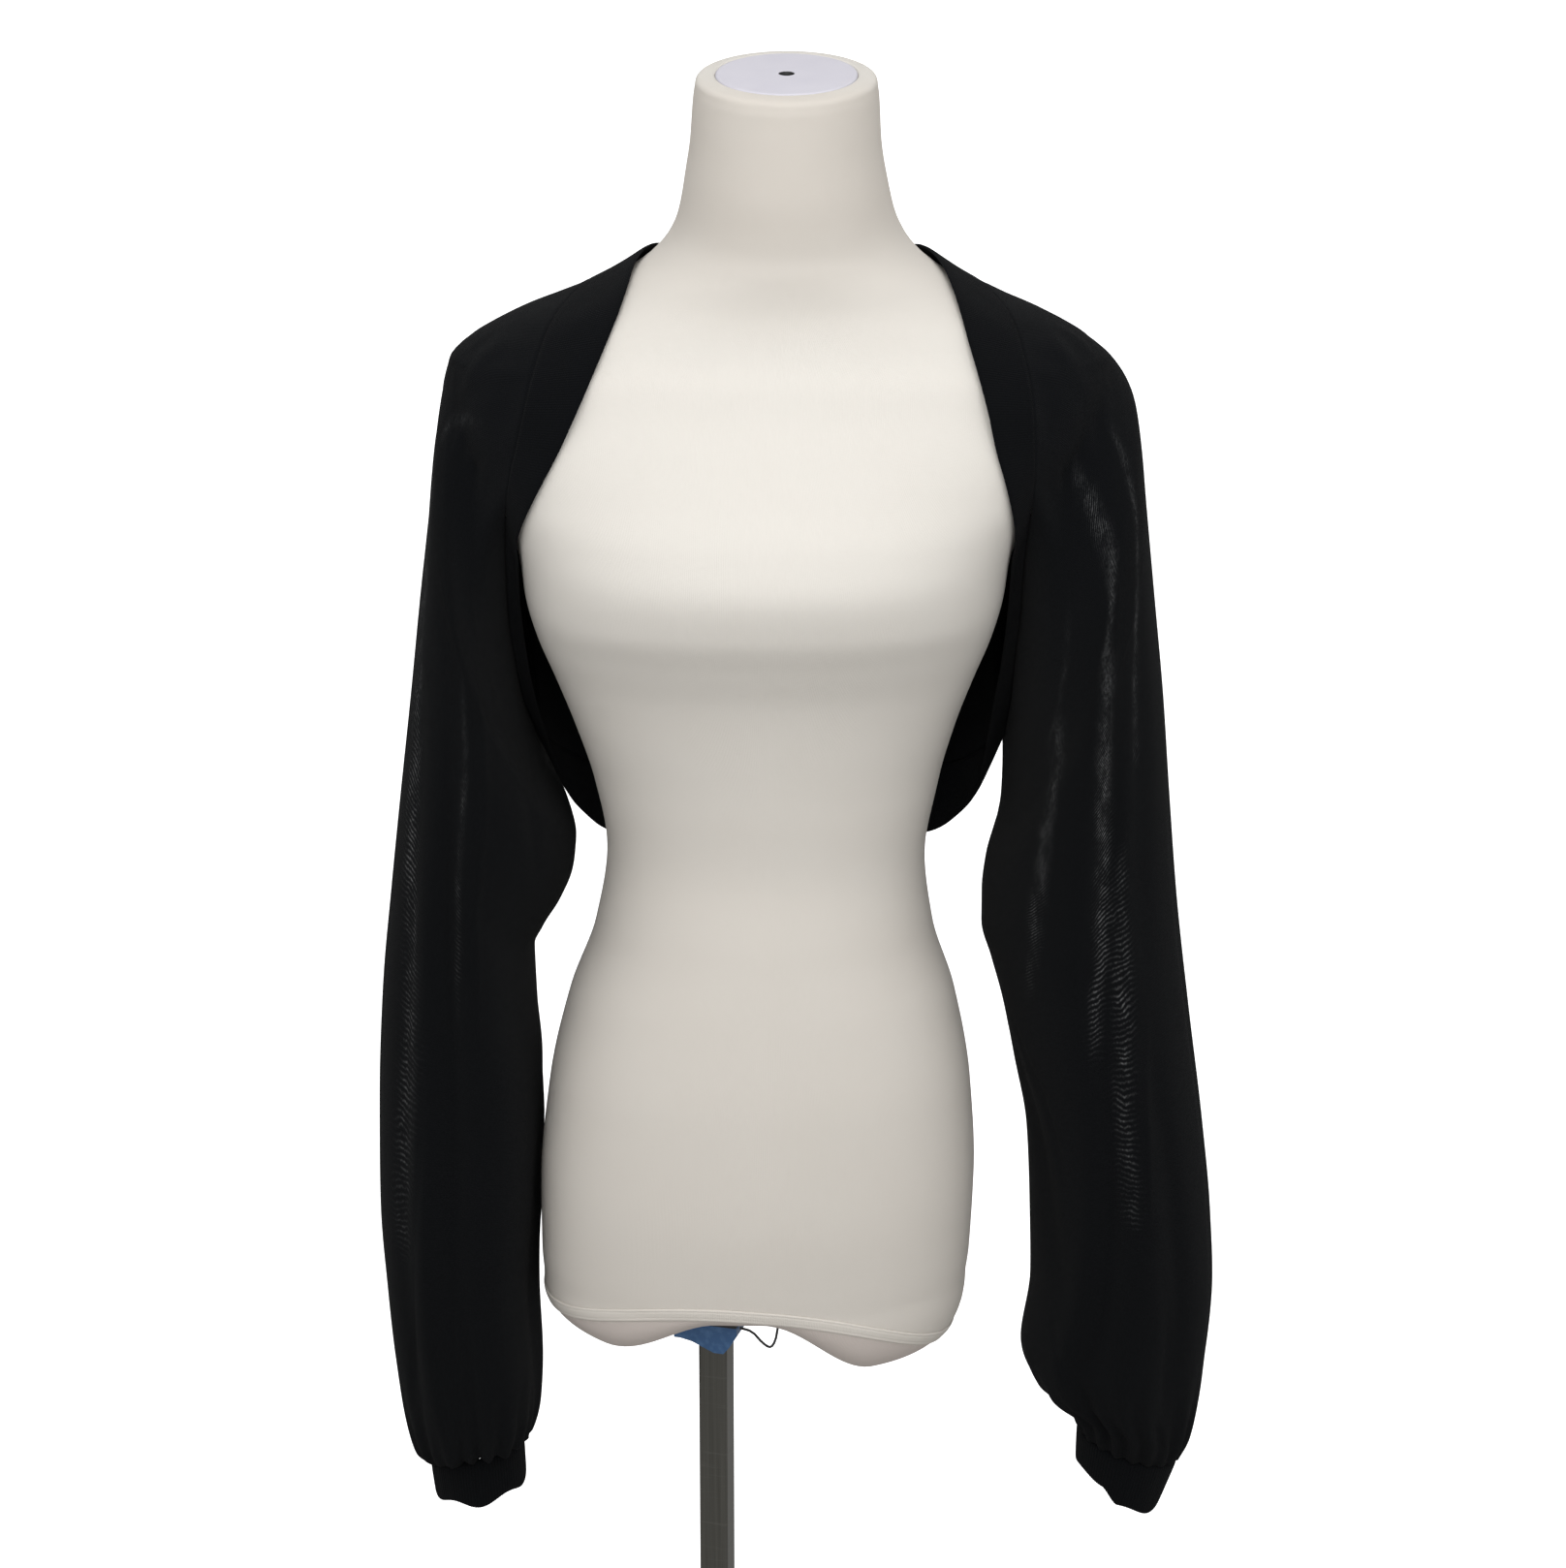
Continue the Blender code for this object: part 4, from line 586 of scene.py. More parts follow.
SLEEVE_LEFT = np.array([
    (0.188, 0.1405, 0.1708, 0.411, -0.058, 0.092, 0.018, 0.0),
    (0.226, 0.1605, 0.1699, 0.43, -0.066, 0.092, 0.016, 0.0),
    (0.2425, 0.188, 0.1668, 0.447, -0.069, 0.088, 0.018, 0.0),
    (0.2493, 0.24, 0.161, 0.466, -0.069, 0.082, 0.017, 0.0),
    (0.2561, 0.3, 0.159, 0.484, -0.067, 0.077, 0.014, 0.0),
    (0.2629, 0.36, 0.159, 0.503, -0.065, 0.073, 0.01, 0.0),
    (0.2682, 0.42, 0.1648, 0.524, -0.064, 0.07, 0.005, 0.0),
    (0.2745, 0.485, 0.172, 0.55, -0.063, 0.068, 0.002, 0.0),
    (0.2836, 0.555, 0.1797, 0.588, -0.063, 0.066, 0.0, 0.0),
    (0.2935, 0.625, 0.188, 0.632, -0.063, 0.065, 0.0, 0.0),
    (0.3004, 0.685, 0.1908, 0.684, -0.063, 0.064, 0.0, 0.0),
    (0.3033, 0.735, 0.192, 0.73, -0.061, 0.062, 0.0, 0.0),
    (0.3007, 0.78, 0.187, 0.772, -0.057, 0.059, 0.0, 0.0),
    (0.2971, 0.812, 0.1958, 0.798, -0.05, 0.052, 0.0, 0.0),
    (0.2915, 0.838, 0.2165, 0.815, -0.042, 0.044, 0.0, 0.0),
    (0.286, 0.852, 0.223, 0.832, -0.033, 0.034, 0.0, 0.0),
])
RINGS_PER_SPAN = (3, 3, 3, 2, 1, 1, 1, 1, 1, 1, 1, 1, 1, 1, 1, 1)
OVERLAP_STATION, OVERLAP_COLUMNS, OVERLAP_REACH, OVERLAP_ASIDE = 5, 6, 0.020, 0.0025
FACE_PARTS = 6
SLEEVE_GAPS = ((0.0, 0.0042), (1.5, 0.0038), (5.0, 0.0038), (8.0, 0.0014), (16.0, 0.0014))
CUFF_RIGHT_END = (0.1750, 0.876, 0.1185, 0.868, -0.028, 0.030, 0.000, -0.002)
CUFF_LEFT_END = (0.2738, 0.886, 0.2225, 0.866, -0.031, 0.031, 0.000, 0.002)
CUFF_WAVES, CUFF_LEFT_NOTCH, NOTCH_TURNS = 5, 0.0095, (94, 118, 242, 266)
# Columns: height, start in radians
CUFF_WAVE = {"r": (0.0021, 2.8), "l": (0.0012, 0.6)}
print("sleeve rows:", len(SLEEVE_RIGHT), len(SLEEVE_LEFT), "band rows:", len(BAND_ROWS))


# %% Lay out the band
def run_along(rows, spans):
    """Share points evenly along the curve through rows."""
    length = np.concatenate([[0.0], np.cumsum(np.linalg.norm(np.diff(rows, axis=0), axis=1))])
    return smooth(length, rows, np.linspace(0.0, length[-1], spans + 1))


def side_runs(left):
    """Give one side's free edge and seam, from back neck to back hem."""
    sign = 1.0 if left else -1.0
    rows = BAND_ROWS
    extra = rows[:, 7] if left else 0.0
    free = np.stack([sign * (rows[:, 0] + extra) + rows[:, 6], rows[:, 1], rows[:, 2]], axis=-1)
    seam = np.stack([sign * (rows[:, 3] + extra), rows[:, 4], rows[:, 5]], axis=-1)
    runs = []
    for edge in (free, seam):
        neck = run_along(edge[:SHOULDER_ROW + 1], HALF_BACK)
        front = run_along(edge[SHOULDER_ROW:UNDERARM_ROW + 1], HALF_ARMHOLE)
        low = run_along(edge[UNDERARM_ROW:], HALF_BACK)
        runs.append(np.concatenate([neck[:-1], front, low[1:]]))
    return runs


def band_grid():
    """Lay the band's rows between its free edge and its seam."""
    loops = [np.concatenate([right, left[::-1][1:-1]])
             for right, left in zip(side_runs(False), side_runs(True))]
    shares = np.linspace(0.0, 1.0, BAND_SPANS + 1)[:, None, None]
    grid = loops[0] + (loops[1] - loops[0]) * shares
    return stand_up(clear_of_form(grid, BAND_WALL + SKIN_GAP))


band = band_grid()
from_axis = (band - (PIVOT_X, 0.0, 0.0)) * (1.0, 1.0, 0.0)
band_normals = facing(grid_normals(band, True), from_axis)
print("band ring:", band.shape[1], "points round the opening")


# %% Lay out the sleeves
def armhole(left):
    """Give one armhole ring, from the shoulder down the front and back up."""
    seam = band[-1]
    count = len(seam)
    start, stop = HALF_BACK, HALF_BACK + HALF_ARMHOLE
    front = seam[[(count - i) % count if left else i for i in range(start, stop + 1)]]
    rows = stand_up(BACK_SEAM_ROWS * np.array([1.0 if left else -1.0, 1.0, 1.0]))
    back = run_along(np.concatenate([front[-1:], rows, front[:1]]), HALF_ARMHOLE)
    return np.concatenate([front, clear_in_world(back, BAND_WALL + SKIN_GAP)[1:-1]])


def ladder_ring(row, left, count):
    """Give a ring through its outer, front, inner and back points."""
    out_x, out_drop, in_x, in_drop, front_y, back_y, bow, lift = row
    sign = 1.0 if left else -1.0
    middle_y = 0.5 * (front_y + back_y)
    middle_x = 0.5 * (out_x + in_x) + bow
    middle_drop = 0.5 * (out_drop + in_drop)
    outer = np.array([sign * out_x, middle_y, TOP_HEIGHT - out_drop])
    inner = np.array([sign * in_x, middle_y, TOP_HEIGHT - in_drop])
    front = np.array([sign * middle_x, front_y, TOP_HEIGHT - middle_drop + lift])
    back = np.array([sign * middle_x, back_y, TOP_HEIGHT - middle_drop])
    turn = (2 * np.pi * np.arange(count) / count)[:, None]
    centre = (outer + front + inner + back) / 4
    bowed = (outer + inner - front - back) / 4
    return centre + (outer - inner) / 2 * np.cos(turn) + (front - back) / 2 * np.sin(turn) \
        + bowed * np.cos(2 * turn)


def between(grid, parts):
    """Fill a grid with evenly spaced points between its own."""
    wide = smooth(range(len(grid)), grid, np.linspace(0, len(grid) - 1, (len(grid) - 1) * parts + 1))
    return finer(wide, parts, False)


def clear_of_band(points, left):
    """Move a sleeve's points that lie over or in the band off its face."""
    count = band.shape[1]
    turn = HALF_BACK + HALF_ARMHOLE
    columns = [i % count for i in range(turn - OVERLAP_COLUMNS, turn + OVERLAP_COLUMNS + 1)]
    if left:
        columns = [(count - i) % count for i in columns]
    face = between(band[:, columns], FACE_PARTS)[:-1].reshape(-1, 3)
    away = unit(between(band_normals[:, columns], FACE_PARTS))[:-1].reshape(-1, 3)
    for point in points.reshape(-1, 3):
        offset = point - face
        height = np.sum(offset * away, axis=-1)
        aside = np.linalg.norm(offset - height[:, None] * away, axis=-1)
        near = np.where(np.abs(height) < OVERLAP_REACH, aside, np.inf)
        best = int(np.argmin(near))
        if near[best] < OVERLAP_ASIDE and height[best] < DRAPE_GAP:
            point += away[best] * (DRAPE_GAP - height[best])
    return points


coarse_stations = [0.0]
for span, rings in enumerate(RINGS_PER_SPAN):
    coarse_stations += [span + (k + 1) / rings for k in range(rings)]
coarse_stations = np.array(coarse_stations)


def base_sleeve(left):
    """Give the sleeve's coarse rings, as its solid has them before folds."""
    rows = SLEEVE_LEFT if left else SLEEVE_RIGHT
    count = 2 * HALF_ARMHOLE
    knots = [armhole(left)] + [ladder_ring(row, left, count) for row in rows]
    grid = smooth(range(len(knots)), np.array(knots), coarse_stations)
    gap = smooth(*zip(*SLEEVE_GAPS), coarse_stations[1:])
    cleared = clear_in_world(grid[1:], gap[:, None] * np.ones(count))
    low = coarse_stations[1:] < OVERLAP_STATION
    cleared[low] = clear_of_band(cleared[low], left)
    return np.concatenate([grid[:1], cleared])


sleeve_bases = {"r": base_sleeve(False), "l": base_sleeve(True)}
print("coarse sleeve grid:", sleeve_bases["r"].shape)

# %% [markdown]
# ## Folds
# The knit is thin and limp, so each sleeve hangs in long soft pipes from the shoulder to the cuff. A
# cloth simulation would put them in other places than the real ones, so each trough and ridge is listed
# one by one: a path of stations down the sleeve and turns round it, a width and a height. Turn 0 is the
# outer side, 90 the front, 180 the inner side and 270 the back. Below them come many small gathers
# where the sleeve is sewn into the cuff.

# %% Paths of the folds
# Main folds. Columns: top_turn, end_turn, top_station, end_station, width, height
FOLDS = {
    "r": (
        (82, 92, 3.0, 15.6, 13, -0.0070), (124, 126, 7.0, 15.4, 16, 0.0035),
        (66, 64, 7.0, 15.6, 10, 0.0025), (50, 47, 5.0, 15.6, 9, -0.0035),
        (160, 166, 8.5, 15.0, 12, -0.0040), (214, 232, 4.0, 15.4, 14, -0.0060),
        (262, 272, 6.0, 15.6, 12, -0.0050), (303, 306, 4.5, 15.4, 11, -0.0040),
    ),
    "l": (
        (72, 122, 4.0, 15.6, 13, -0.0075), (62, 48, 8.5, 15.8, 9, -0.0040),
        (54, 58, 4.0, 8.5, 9, -0.0030), (168, 134, 8.5, 12.0, 9, -0.0030),
        (92, 146, 8.0, 15.4, 10, 0.0030), (218, 206, 4.5, 15.4, 14, -0.0060),
        (254, 262, 5.5, 15.6, 12, -0.0050), (306, 296, 4.0, 15.6, 12, -0.0045),
    ),
}
# Small creases. Columns: width, height, then station and turn pairs
CREASES = {
    "r": (
        (4.0, -0.0012, (8.6, 68), (10.2, 66), (11.8, 56), (14.1, 32)),
        (3.0, 0.0010, (0.8, 80), (1.4, 104), (2.6, 106), (5.9, 108), (9.3, 108)),
        (3.5, -0.0012, (11.6, 76), (13.0, 73), (14.6, 72)),
        (3.0, -0.0010, (12.1, 100), (13.8, 99)),
        (3.0, -0.0010, (13.0, 116), (14.8, 120)),
        (4.5, -0.0013, (0.7, 156), (3.1, 134), (4.8, 140)),
        (4.0, 0.0010, (11.4, 92), (12.3, 91), (13.9, 88)),
        (4.0, -0.0010, (2.0, 20), (6.0, 14), (11.0, 18)),
        (5.0, -0.0012, (6.0, 338), (9.5, 344), (13.5, 341)),
        (4.0, -0.0010, (1.0, 212), (3.6, 232), (7.0, 240)),
        (4.0, 0.0010, (5.0, 284), (9.0, 280), (13.0, 288)),
    ),
    "l": (
        (3.0, -0.0012, (8.2, 160), (8.8, 150), (9.2, 141), (9.9, 135), (10.6, 127)),
        (4.5, -0.0014, (11.0, 70), (12.6, 60), (14.8, 55)),
        (3.0, 0.0010, (8.7, 60), (9.6, 69), (10.8, 76)),
        (3.5, -0.0011, (12.2, 142), (13.1, 122), (14.5, 106)),
        (3.0, -0.0011, (12.2, 85), (15.4, 97)),
        (3.0, -0.0010, (14.0, 66), (15.4, 54)),
        (3.5, 0.0010, (1.2, 60), (2.5, 76), (5.0, 86), (8.6, 94)),
        (4.0, -0.0010, (2.2, 338), (6.0, 346), (10.0, 342)),
        (5.0, -0.0012, (6.5, 20), (10.0, 14), (14.0, 18)),
        (4.0, -0.0010, (1.0, 208), (3.8, 236), (7.5, 238)),
        (4.0, 0.0010, (5.5, 280), (9.5, 286), (13.5, 282)),
    ),
}
print("main folds:", {side: len(rows) for side, rows in FOLDS.items()},
      "creases:", {side: len(rows) for side, rows in CREASES.items()})


# %% Heights of folds and gathers
GATHERS, GATHER_START, GATHER_PEAK, GATHER_HEIGHT, GATHER_END_SHARE = 20, 12.6, 15.0, 0.0022, 0.6


def turn_gap(turn, middle):
    """Give the signed turn between two places, in degrees."""
    return (turn - middle + 180) % 360 - 180


def ribbon(station, turn, width, path):
    """Give a soft strip's strength along a path: 1 on it, 0 beside it."""
    stops = np.array(path, float)
    share = (station - stops[0, 0]) / (stops[-1, 0] - stops[0, 0])
    middle = np.interp(station, stops[:, 0], stops[:, 1])
    fade = np.where((share > 0) & (share < 1), np.sin(np.pi * np.clip(share, 0, 1)) ** 0.6, 0.0)
    return fade * np.exp(-((turn_gap(turn, middle) / width) ** 2))


def fold_height(station, turn, side):
    """Add up the heights of a sleeve's folds and creases."""
    height = np.zeros(np.broadcast(station, turn).shape)
    for top_turn, end_turn, top_station, end_station, width, tall in FOLDS[side]:
        path = ((top_station, top_turn), (end_station, end_turn))
        height += tall * ribbon(station, turn, width, path)
    for width, tall, *path in CREASES[side]:
        height += tall * ribbon(station, turn, width, path)
    return height


def gather_height(station, turn):
    """Give the cuff gathers' height, uneven round the sleeve."""
    rise = ease((station - GATHER_START) / (GATHER_PEAK - GATHER_START))
    share = np.where(station < GATHER_PEAK, rise, 1 + (GATHER_END_SHARE - 1) * (station - GATHER_PEAK))
    angle = np.radians(turn)
    uneven = 0.75 + 0.25 * np.cos(3 * angle + 0.8)
    return GATHER_HEIGHT * share * uneven * np.cos(GATHERS * angle)


print("deepest fold in mm:", 1000 * min(row[5] for rows in FOLDS.values() for row in rows))

# %% [markdown]
# ## Sleeves, cuffs, band and back
# Each coarse grid of the solids is filled with points on round curves, kept clear of the form, and then
# given its folds along its normals. Where the knit is pulled tight it turns slightly sheer, and the
# light through it is painted as a paler streak, so the sleeves also carry a mark of where the streaks
# run.

# %% Streaks on the sleeves
# Columns: width, strength, then station and turn pairs
STREAKS = {
    "r": (
        (7.0, 0.55, (2.6, 44), (4.4, 36), (5.4, 37), (6.4, 40), (7.4, 45), (8.1, 52), (9.1, 54),
         (10.0, 50), (11.4, 46)),
        (2.0, 0.30, (0.7, 55), (1.6, 44), (2.6, 40)),
        (2.2, 0.35, (2.9, 94), (6.4, 93), (7.1, 94), (8.6, 92)),
    ),
    "l": (
        (4.0, 0.45, (1.3, 96), (1.6, 106), (2.0, 120), (4.0, 122), (5.4, 123), (6.6, 126), (7.8, 136)),
        (4.5, 0.90, (1.2, 62), (2.5, 76), (2.9, 88), (4.0, 87), (5.0, 86), (6.6, 84), (7.8, 86),
         (8.1, 93), (8.9, 97)),
        (3.0, 0.60, (1.9, 40), (2.9, 52), (4.0, 56), (5.1, 58), (6.0, 58)),
        (5.0, 0.50, (6.6, 72), (7.9, 74), (8.8, 78), (9.9, 87), (10.8, 86)),
    ),
}
print("streaks:", {side: len(rows) for side, rows in STREAKS.items()})

# %% Build the sleeves
SLEEVE_PARTS = 6
SLEEVE_CUT = (0.71, 0.79)
# Columns: first station, last station, rings between them
FINE_STRETCHES = (0.0, 4.0, 48), (4.0, 12.0, 64), (12.0, 16.0, 44)
fine_stations = np.concatenate([np.linspace(first, last, count + 1)[:-1]
                                for first, last, count in FINE_STRETCHES] + [[16.0]])
fine_turns = 360.0 * np.arange(2 * HALF_ARMHOLE * SLEEVE_PARTS) / (2 * HALF_ARMHOLE * SLEEVE_PARTS)


def fine_sleeve(side):
    """Give a sleeve's fine outer and inner grids and its streak mark."""
    grid = smooth(coarse_stations, sleeve_bases[side], fine_stations)
    grid = finer(grid, SLEEVE_PARTS, True)
    gap = smooth(*zip(*SLEEVE_GAPS), fine_stations)
    grid = clear_in_world(grid, gap[:, None] * np.ones(grid.shape[1]))
    normals = facing(grid_normals(grid, True), grid - grid.mean(axis=1, keepdims=True))
    station, turn = np.meshgrid(fine_stations, fine_turns, indexing="ij")
    height = fold_height(station, turn, side) + gather_height(station, turn)
    outer = grid + normals * height[..., None]
    # The streak mark says where the finish paints the light showing through the sheer knit
    streak = sum(tall * ribbon(station, turn, width, path) for width, tall, *path in STREAKS[side])
    return outer, outer - normals * KNIT, streak


sleeves = {}
for side, tag in (("r", "right"), ("l", "left")):
    outer, inner, streak = fine_sleeve(side)
    mesh = cloth_mesh("knit_sleeve_" + tag, outer, inner, True, SLEEVE_CUT, {"streak": streak})
    sleeves[side] = link_piece("knit_sleeve_" + tag, mesh)
    stand_for(sleeves[side], "sleeve_" + side)


# %% Build the cuffs
CUFF_RINGS, CUFF_RIBS, RIB_HEIGHT = 22, 120, 0.00018
CUFF_TOP_ROLL, CUFF_LOW_ROLL, CUFF_EDGE_SHARE = 12, 16, 0.02
CUFF_CUT = (0.16, 0.037)


def notch_share(turn):
    """Say how far a turn lies inside the left cuff's folded-up stretch."""
    rise_start, rise_end, fall_start, fall_end = NOTCH_TURNS
    return ease((turn - rise_start) / (rise_end - rise_start)) \
        - ease((turn - fall_start) / (fall_end - fall_start))


def cuff_grids(side):
    """Give a cuff's outer and inner grids, with its lower edge rolled."""
    left = side == "l"
    rows = SLEEVE_LEFT if left else SLEEVE_RIGHT
    count = len(fine_turns)
    top = ladder_ring(rows[-1], left, count)
    low = ladder_ring(CUFF_LEFT_END if left else CUFF_RIGHT_END, left, count)
    height, start = CUFF_WAVE[side]
    low[:, 2] += height * np.sin(CUFF_WAVES * np.radians(fine_turns) + start)
    if left:
        low[:, 2] += CUFF_LEFT_NOTCH * notch_share(fine_turns)
    shares = np.linspace(0.0, 1.0, CUFF_RINGS)[:, None, None]
    grid = top + (low - top) * shares
    normals = facing(grid_normals(grid, True), grid - grid.mean(axis=1, keepdims=True))
    roll = (1 - (1 - shares) ** CUFF_TOP_ROLL) * (1 - shares ** CUFF_LOW_ROLL)
    rib = RIB_HEIGHT * np.cos(np.radians(fine_turns) * CUFF_RIBS)[None, :, None]
    half = 0.5 * BAND_WALL * np.sqrt(np.clip(roll, CUFF_EDGE_SHARE, 1.0))
    middle = grid - normals * (0.5 * BAND_WALL)
    return middle + normals * (half + rib), middle - normals * half


cuffs = {}
for side, tag in (("r", "right"), ("l", "left")):
    outer, inner = cuff_grids(side)
    mesh = cloth_mesh("knit_cuff_" + tag, outer, inner, True, CUFF_CUT)
    cuffs[side] = link_piece("knit_cuff_" + tag, mesh)
    stand_for(cuffs[side], "cuff_" + side)

# %% Build the band
BAND_PARTS, BAND_LINES, BAND_ROLL, BAND_EDGE_SHARE = 6, 15, 10, 0.04
BAND_CUT = (1.50, 0.028)
rows = np.linspace(0, BAND_SPANS, BAND_LINES)
fine_band, coarse_way = (
    finer(smooth(range(BAND_SPANS + 1), coarse, rows), BAND_PARTS, True)
    for coarse in (band, band_normals)
)
fine_normals = facing(grid_normals(fine_band, True), coarse_way)
shares = (rows / BAND_SPANS)[:, None, None]
half = 0.5 * BAND_WALL * np.sqrt(np.clip(1 - (1 - shares) ** BAND_ROLL, BAND_EDGE_SHARE, 1.0))
middle = fine_band - fine_normals * (0.5 * BAND_WALL)
half = fine_normals * half
mesh = cloth_mesh("knit_band", middle + half, middle - half, True, BAND_CUT)
band_piece = link_piece("knit_band", mesh)
stand_for(band_piece, "band")


# %% Build the back
def back_depth(points):
    """Say how far behind the middle the back panel hangs at torso points."""
    deep = smooth(BACK_DEPTH_ROWS[:, 0], BACK_DEPTH_ROWS[:, 1], points[..., 2])
    across = np.clip(np.abs(points[..., 0]) / BACK_ROUND_WIDTH, 0.0, 1.0)
    return deep * (1 - across ** BACK_SQUARENESS) ** (1 / BACK_SQUARENESS)


def patch(right, left, top, low, fade):
    """Fill a grid from its four edges, each fading out by its own power."""
    v = np.linspace(0.0, 1.0, len(right))[:, None, None]
    u = np.linspace(0.0, 1.0, len(top))[None, :, None]
    near_right, near_left = (1 - u) ** fade, u ** fade
    near_top, near_low = (1 - v) ** fade, v ** fade
    corners = near_top * (near_right * right[0] + near_left * left[0])
    corners = corners + near_low * (near_right * right[-1] + near_left * left[-1])
    return near_right * right[:, None] + near_left * left[:, None] \
        + near_top * top[None] + near_low * low[None] - corners


def back_panel_grid():
    """Hang the back panel between the armholes, the neck and the hem."""
    seam = band[-1]
    count, ring = len(seam), 2 * HALF_ARMHOLE
    down = [(ring - i) % ring for i in range(HALF_ARMHOLE + 1)]
    low = HALF_BACK + HALF_ARMHOLE
    edges = [lay_back(edge) for edge in (
        armhole(False)[down], armhole(True)[down],
        seam[[i % count for i in range(HALF_BACK, -HALF_BACK - 1, -1)]],
        seam[low:low + 2 * HALF_BACK + 1],
    )]
    grid = patch(*edges, 1)
    rest = []
    for edge in edges:
        miss = np.zeros_like(edge)
        miss[:, 1] = edge[:, 1] - back_depth(edge)
        rest.append(miss)
    grid[..., 1] = back_depth(grid) + patch(*rest, BACK_EDGE_FADE)[..., 1]
    grid = stand_up(grid)
    grid[1:-1, 1:-1] = clear_in_world(grid[1:-1, 1:-1], KNIT + SHOULDER_GAP)
    return grid


BACK_PARTS = 6
BACK_CUT = (0.36, 0.30)
coarse_back = back_panel_grid()
fine_back = finer(coarse_back, BACK_PARTS, False)
fine_back = np.swapaxes(finer(np.swapaxes(fine_back, 0, 1), BACK_PARTS, False), 0, 1)
fine_back = clear_in_world(fine_back, KNIT + SHOULDER_GAP)
back_normals = facing(grid_normals(fine_back, False), (0.0, 1.0, 0.0))
mesh = cloth_mesh("knit_back", fine_back, fine_back - back_normals * KNIT, False, BACK_CUT)
back_piece = link_piece("knit_back", mesh)
stand_for(back_piece, "back_panel")


# %% Measure the cloth
def cloth_area(piece):
    """Give a closed sheet's area, counted once."""
    return sum(polygon.area for polygon in piece.data.polygons) / 2


def ring_length(ring):
    """Give a closed ring's length."""
    return float(np.linalg.norm(ring - np.roll(ring, 1, axis=0), axis=-1).sum())


for piece in (*sleeves.values(), *cuffs.values(), band_piece, back_piece, hem):
    print(piece.name, "area in m2:", round(cloth_area(piece), 4))
for side, base in sleeve_bases.items():
    around = [round(ring_length(base[k]), 3) for k in (0, 3, 6, 9, 12, 16, 20, 22, 23)]
    along = np.linalg.norm(np.diff(base, axis=0), axis=-1).sum(axis=0)
    print("sleeve", side, "around:", around, "along:", along.round(3).min(), along.round(3).max())

# %% [markdown]
# ## Shader sums written as Python
# A finish is worked out from sums on sockets. This class lets them be written
# as ordinary expressions; every other node comes from its one method.

# %% A socket that can be added and multiplied
class Link:
    """One socket of a material's nodes."""

    def __init__(self, tree, socket=None):
        self.tree = tree
        self.socket = socket

    def node(self, kind, settings=None, sockets=None, take=0):
        """Add a node: its settings first, then its sockets' values or links."""
        new = self.tree.nodes.new(kind)
        for name, value in (settings or {}).items():
            setattr(new, name, value)
        for name, value in (sockets or {}).items():
            if isinstance(value, Link):
                self.tree.links.new(value.socket, new.inputs[name])
            else:
                new.inputs[name].default_value = value
        return Link(self.tree, new.outputs[take])

    def sum(self, operation, first, second=0.0):
        return self.node("ShaderNodeMath", {"operation": operation}, {0: first, 1: second})

    def __add__(self, other):
        return self.sum("ADD", self, other)

    def __sub__(self, other):
        return self.sum("SUBTRACT", self, other)

    def __rsub__(self, other):
        return self.sum("SUBTRACT", other, self)

    def __mul__(self, other):
        return self.sum("MULTIPLY", self, other)

    def __pow__(self, other):
        return self.sum("POWER", self, other)

    __radd__, __rmul__ = __add__, __mul__

    def split(self):
        """Give a vector's three parts."""
        first = self.node("ShaderNodeSeparateXYZ", sockets={0: self})
        return [Link(self.tree, output) for output in first.socket.node.outputs]

    def blend(self, first, second):
        """Mix two colours by this socket's value."""
        return self.node("ShaderNodeMix", {"data_type": "RGBA"}, {0: self, 6: first, 7: second}, take=2)


def begin(name, **constants):
    """Start a finish: a shader with its constant sockets set directly."""
    finish = bpy.data.materials.new(name)
    finish.use_nodes = True
    shader = finish.node_tree.nodes["Principled BSDF"]
    for socket, value in constants.items():
        shader.inputs[socket.replace("_", " ")].default_value = value
    return finish, shader, Link(finish.node_tree)


def feed(shader, start, **links):
    """Join worked-out values to the shader's sockets."""
    for socket, value in links.items():
        start.tree.links.new(value.socket, shader.inputs[socket.replace("_", " ")])


print("shader helper ready")

# %% [markdown]
# ## Patterns that the finishes share
# Knit is columns of V-shaped loops. Its height is worked out from the flat
# coordinates of the cloth, so that the columns run down the sleeve and bend
# with it. It could be modelled loop by loop, but at half a millimetre a loop
# that would take millions of faces, so it is relief in the finish. Metal,
# paint and plastic use soft noise measured in metres on the object instead.

# %% Knit, noise and relief
def wear(piece, finish):
    """Give a piece its finish."""
    piece.data.materials.clear()
    piece.data.materials.append(finish)


def flat_way(start):
    """Give a cloth's flat coordinates in metres: across and down."""
    return start.node("ShaderNodeUVMap", {"uv_map": "flat"}).split()[:2]


def mark(start, name):
    """Read a number that the mesh carries at its points."""
    return start.node("ShaderNodeAttribute", {"attribute_name": name}, take=2)


def knit_height(start, wale, course):
    """Give the height of a knit's loops, 0 to 1."""
    across, down = flat_way(start)
    gap = start.sum("ABSOLUTE", start.sum("FRACT", across * (1 / wale)) * 2.0 - 1.0)
    loop = start.sum("SINE", (down * (1 / course) + gap * 0.6) * (2 * math.pi))
    return (1.0 - gap ** 2.0) * (loop * 0.3 + 0.7)


def speckle(start, scale, stretch=(1.0, 1.0, 1.0), detail=3.0):
    """Give soft noise, with a scale per metre, on the object itself."""
    place = start.node("ShaderNodeTexCoord", take=3)
    place = start.node("ShaderNodeMapping", {}, {"Vector": place, "Scale": stretch})
    return start.node("ShaderNodeTexNoise", {}, {"Vector": place, "Scale": scale, "Detail": detail})


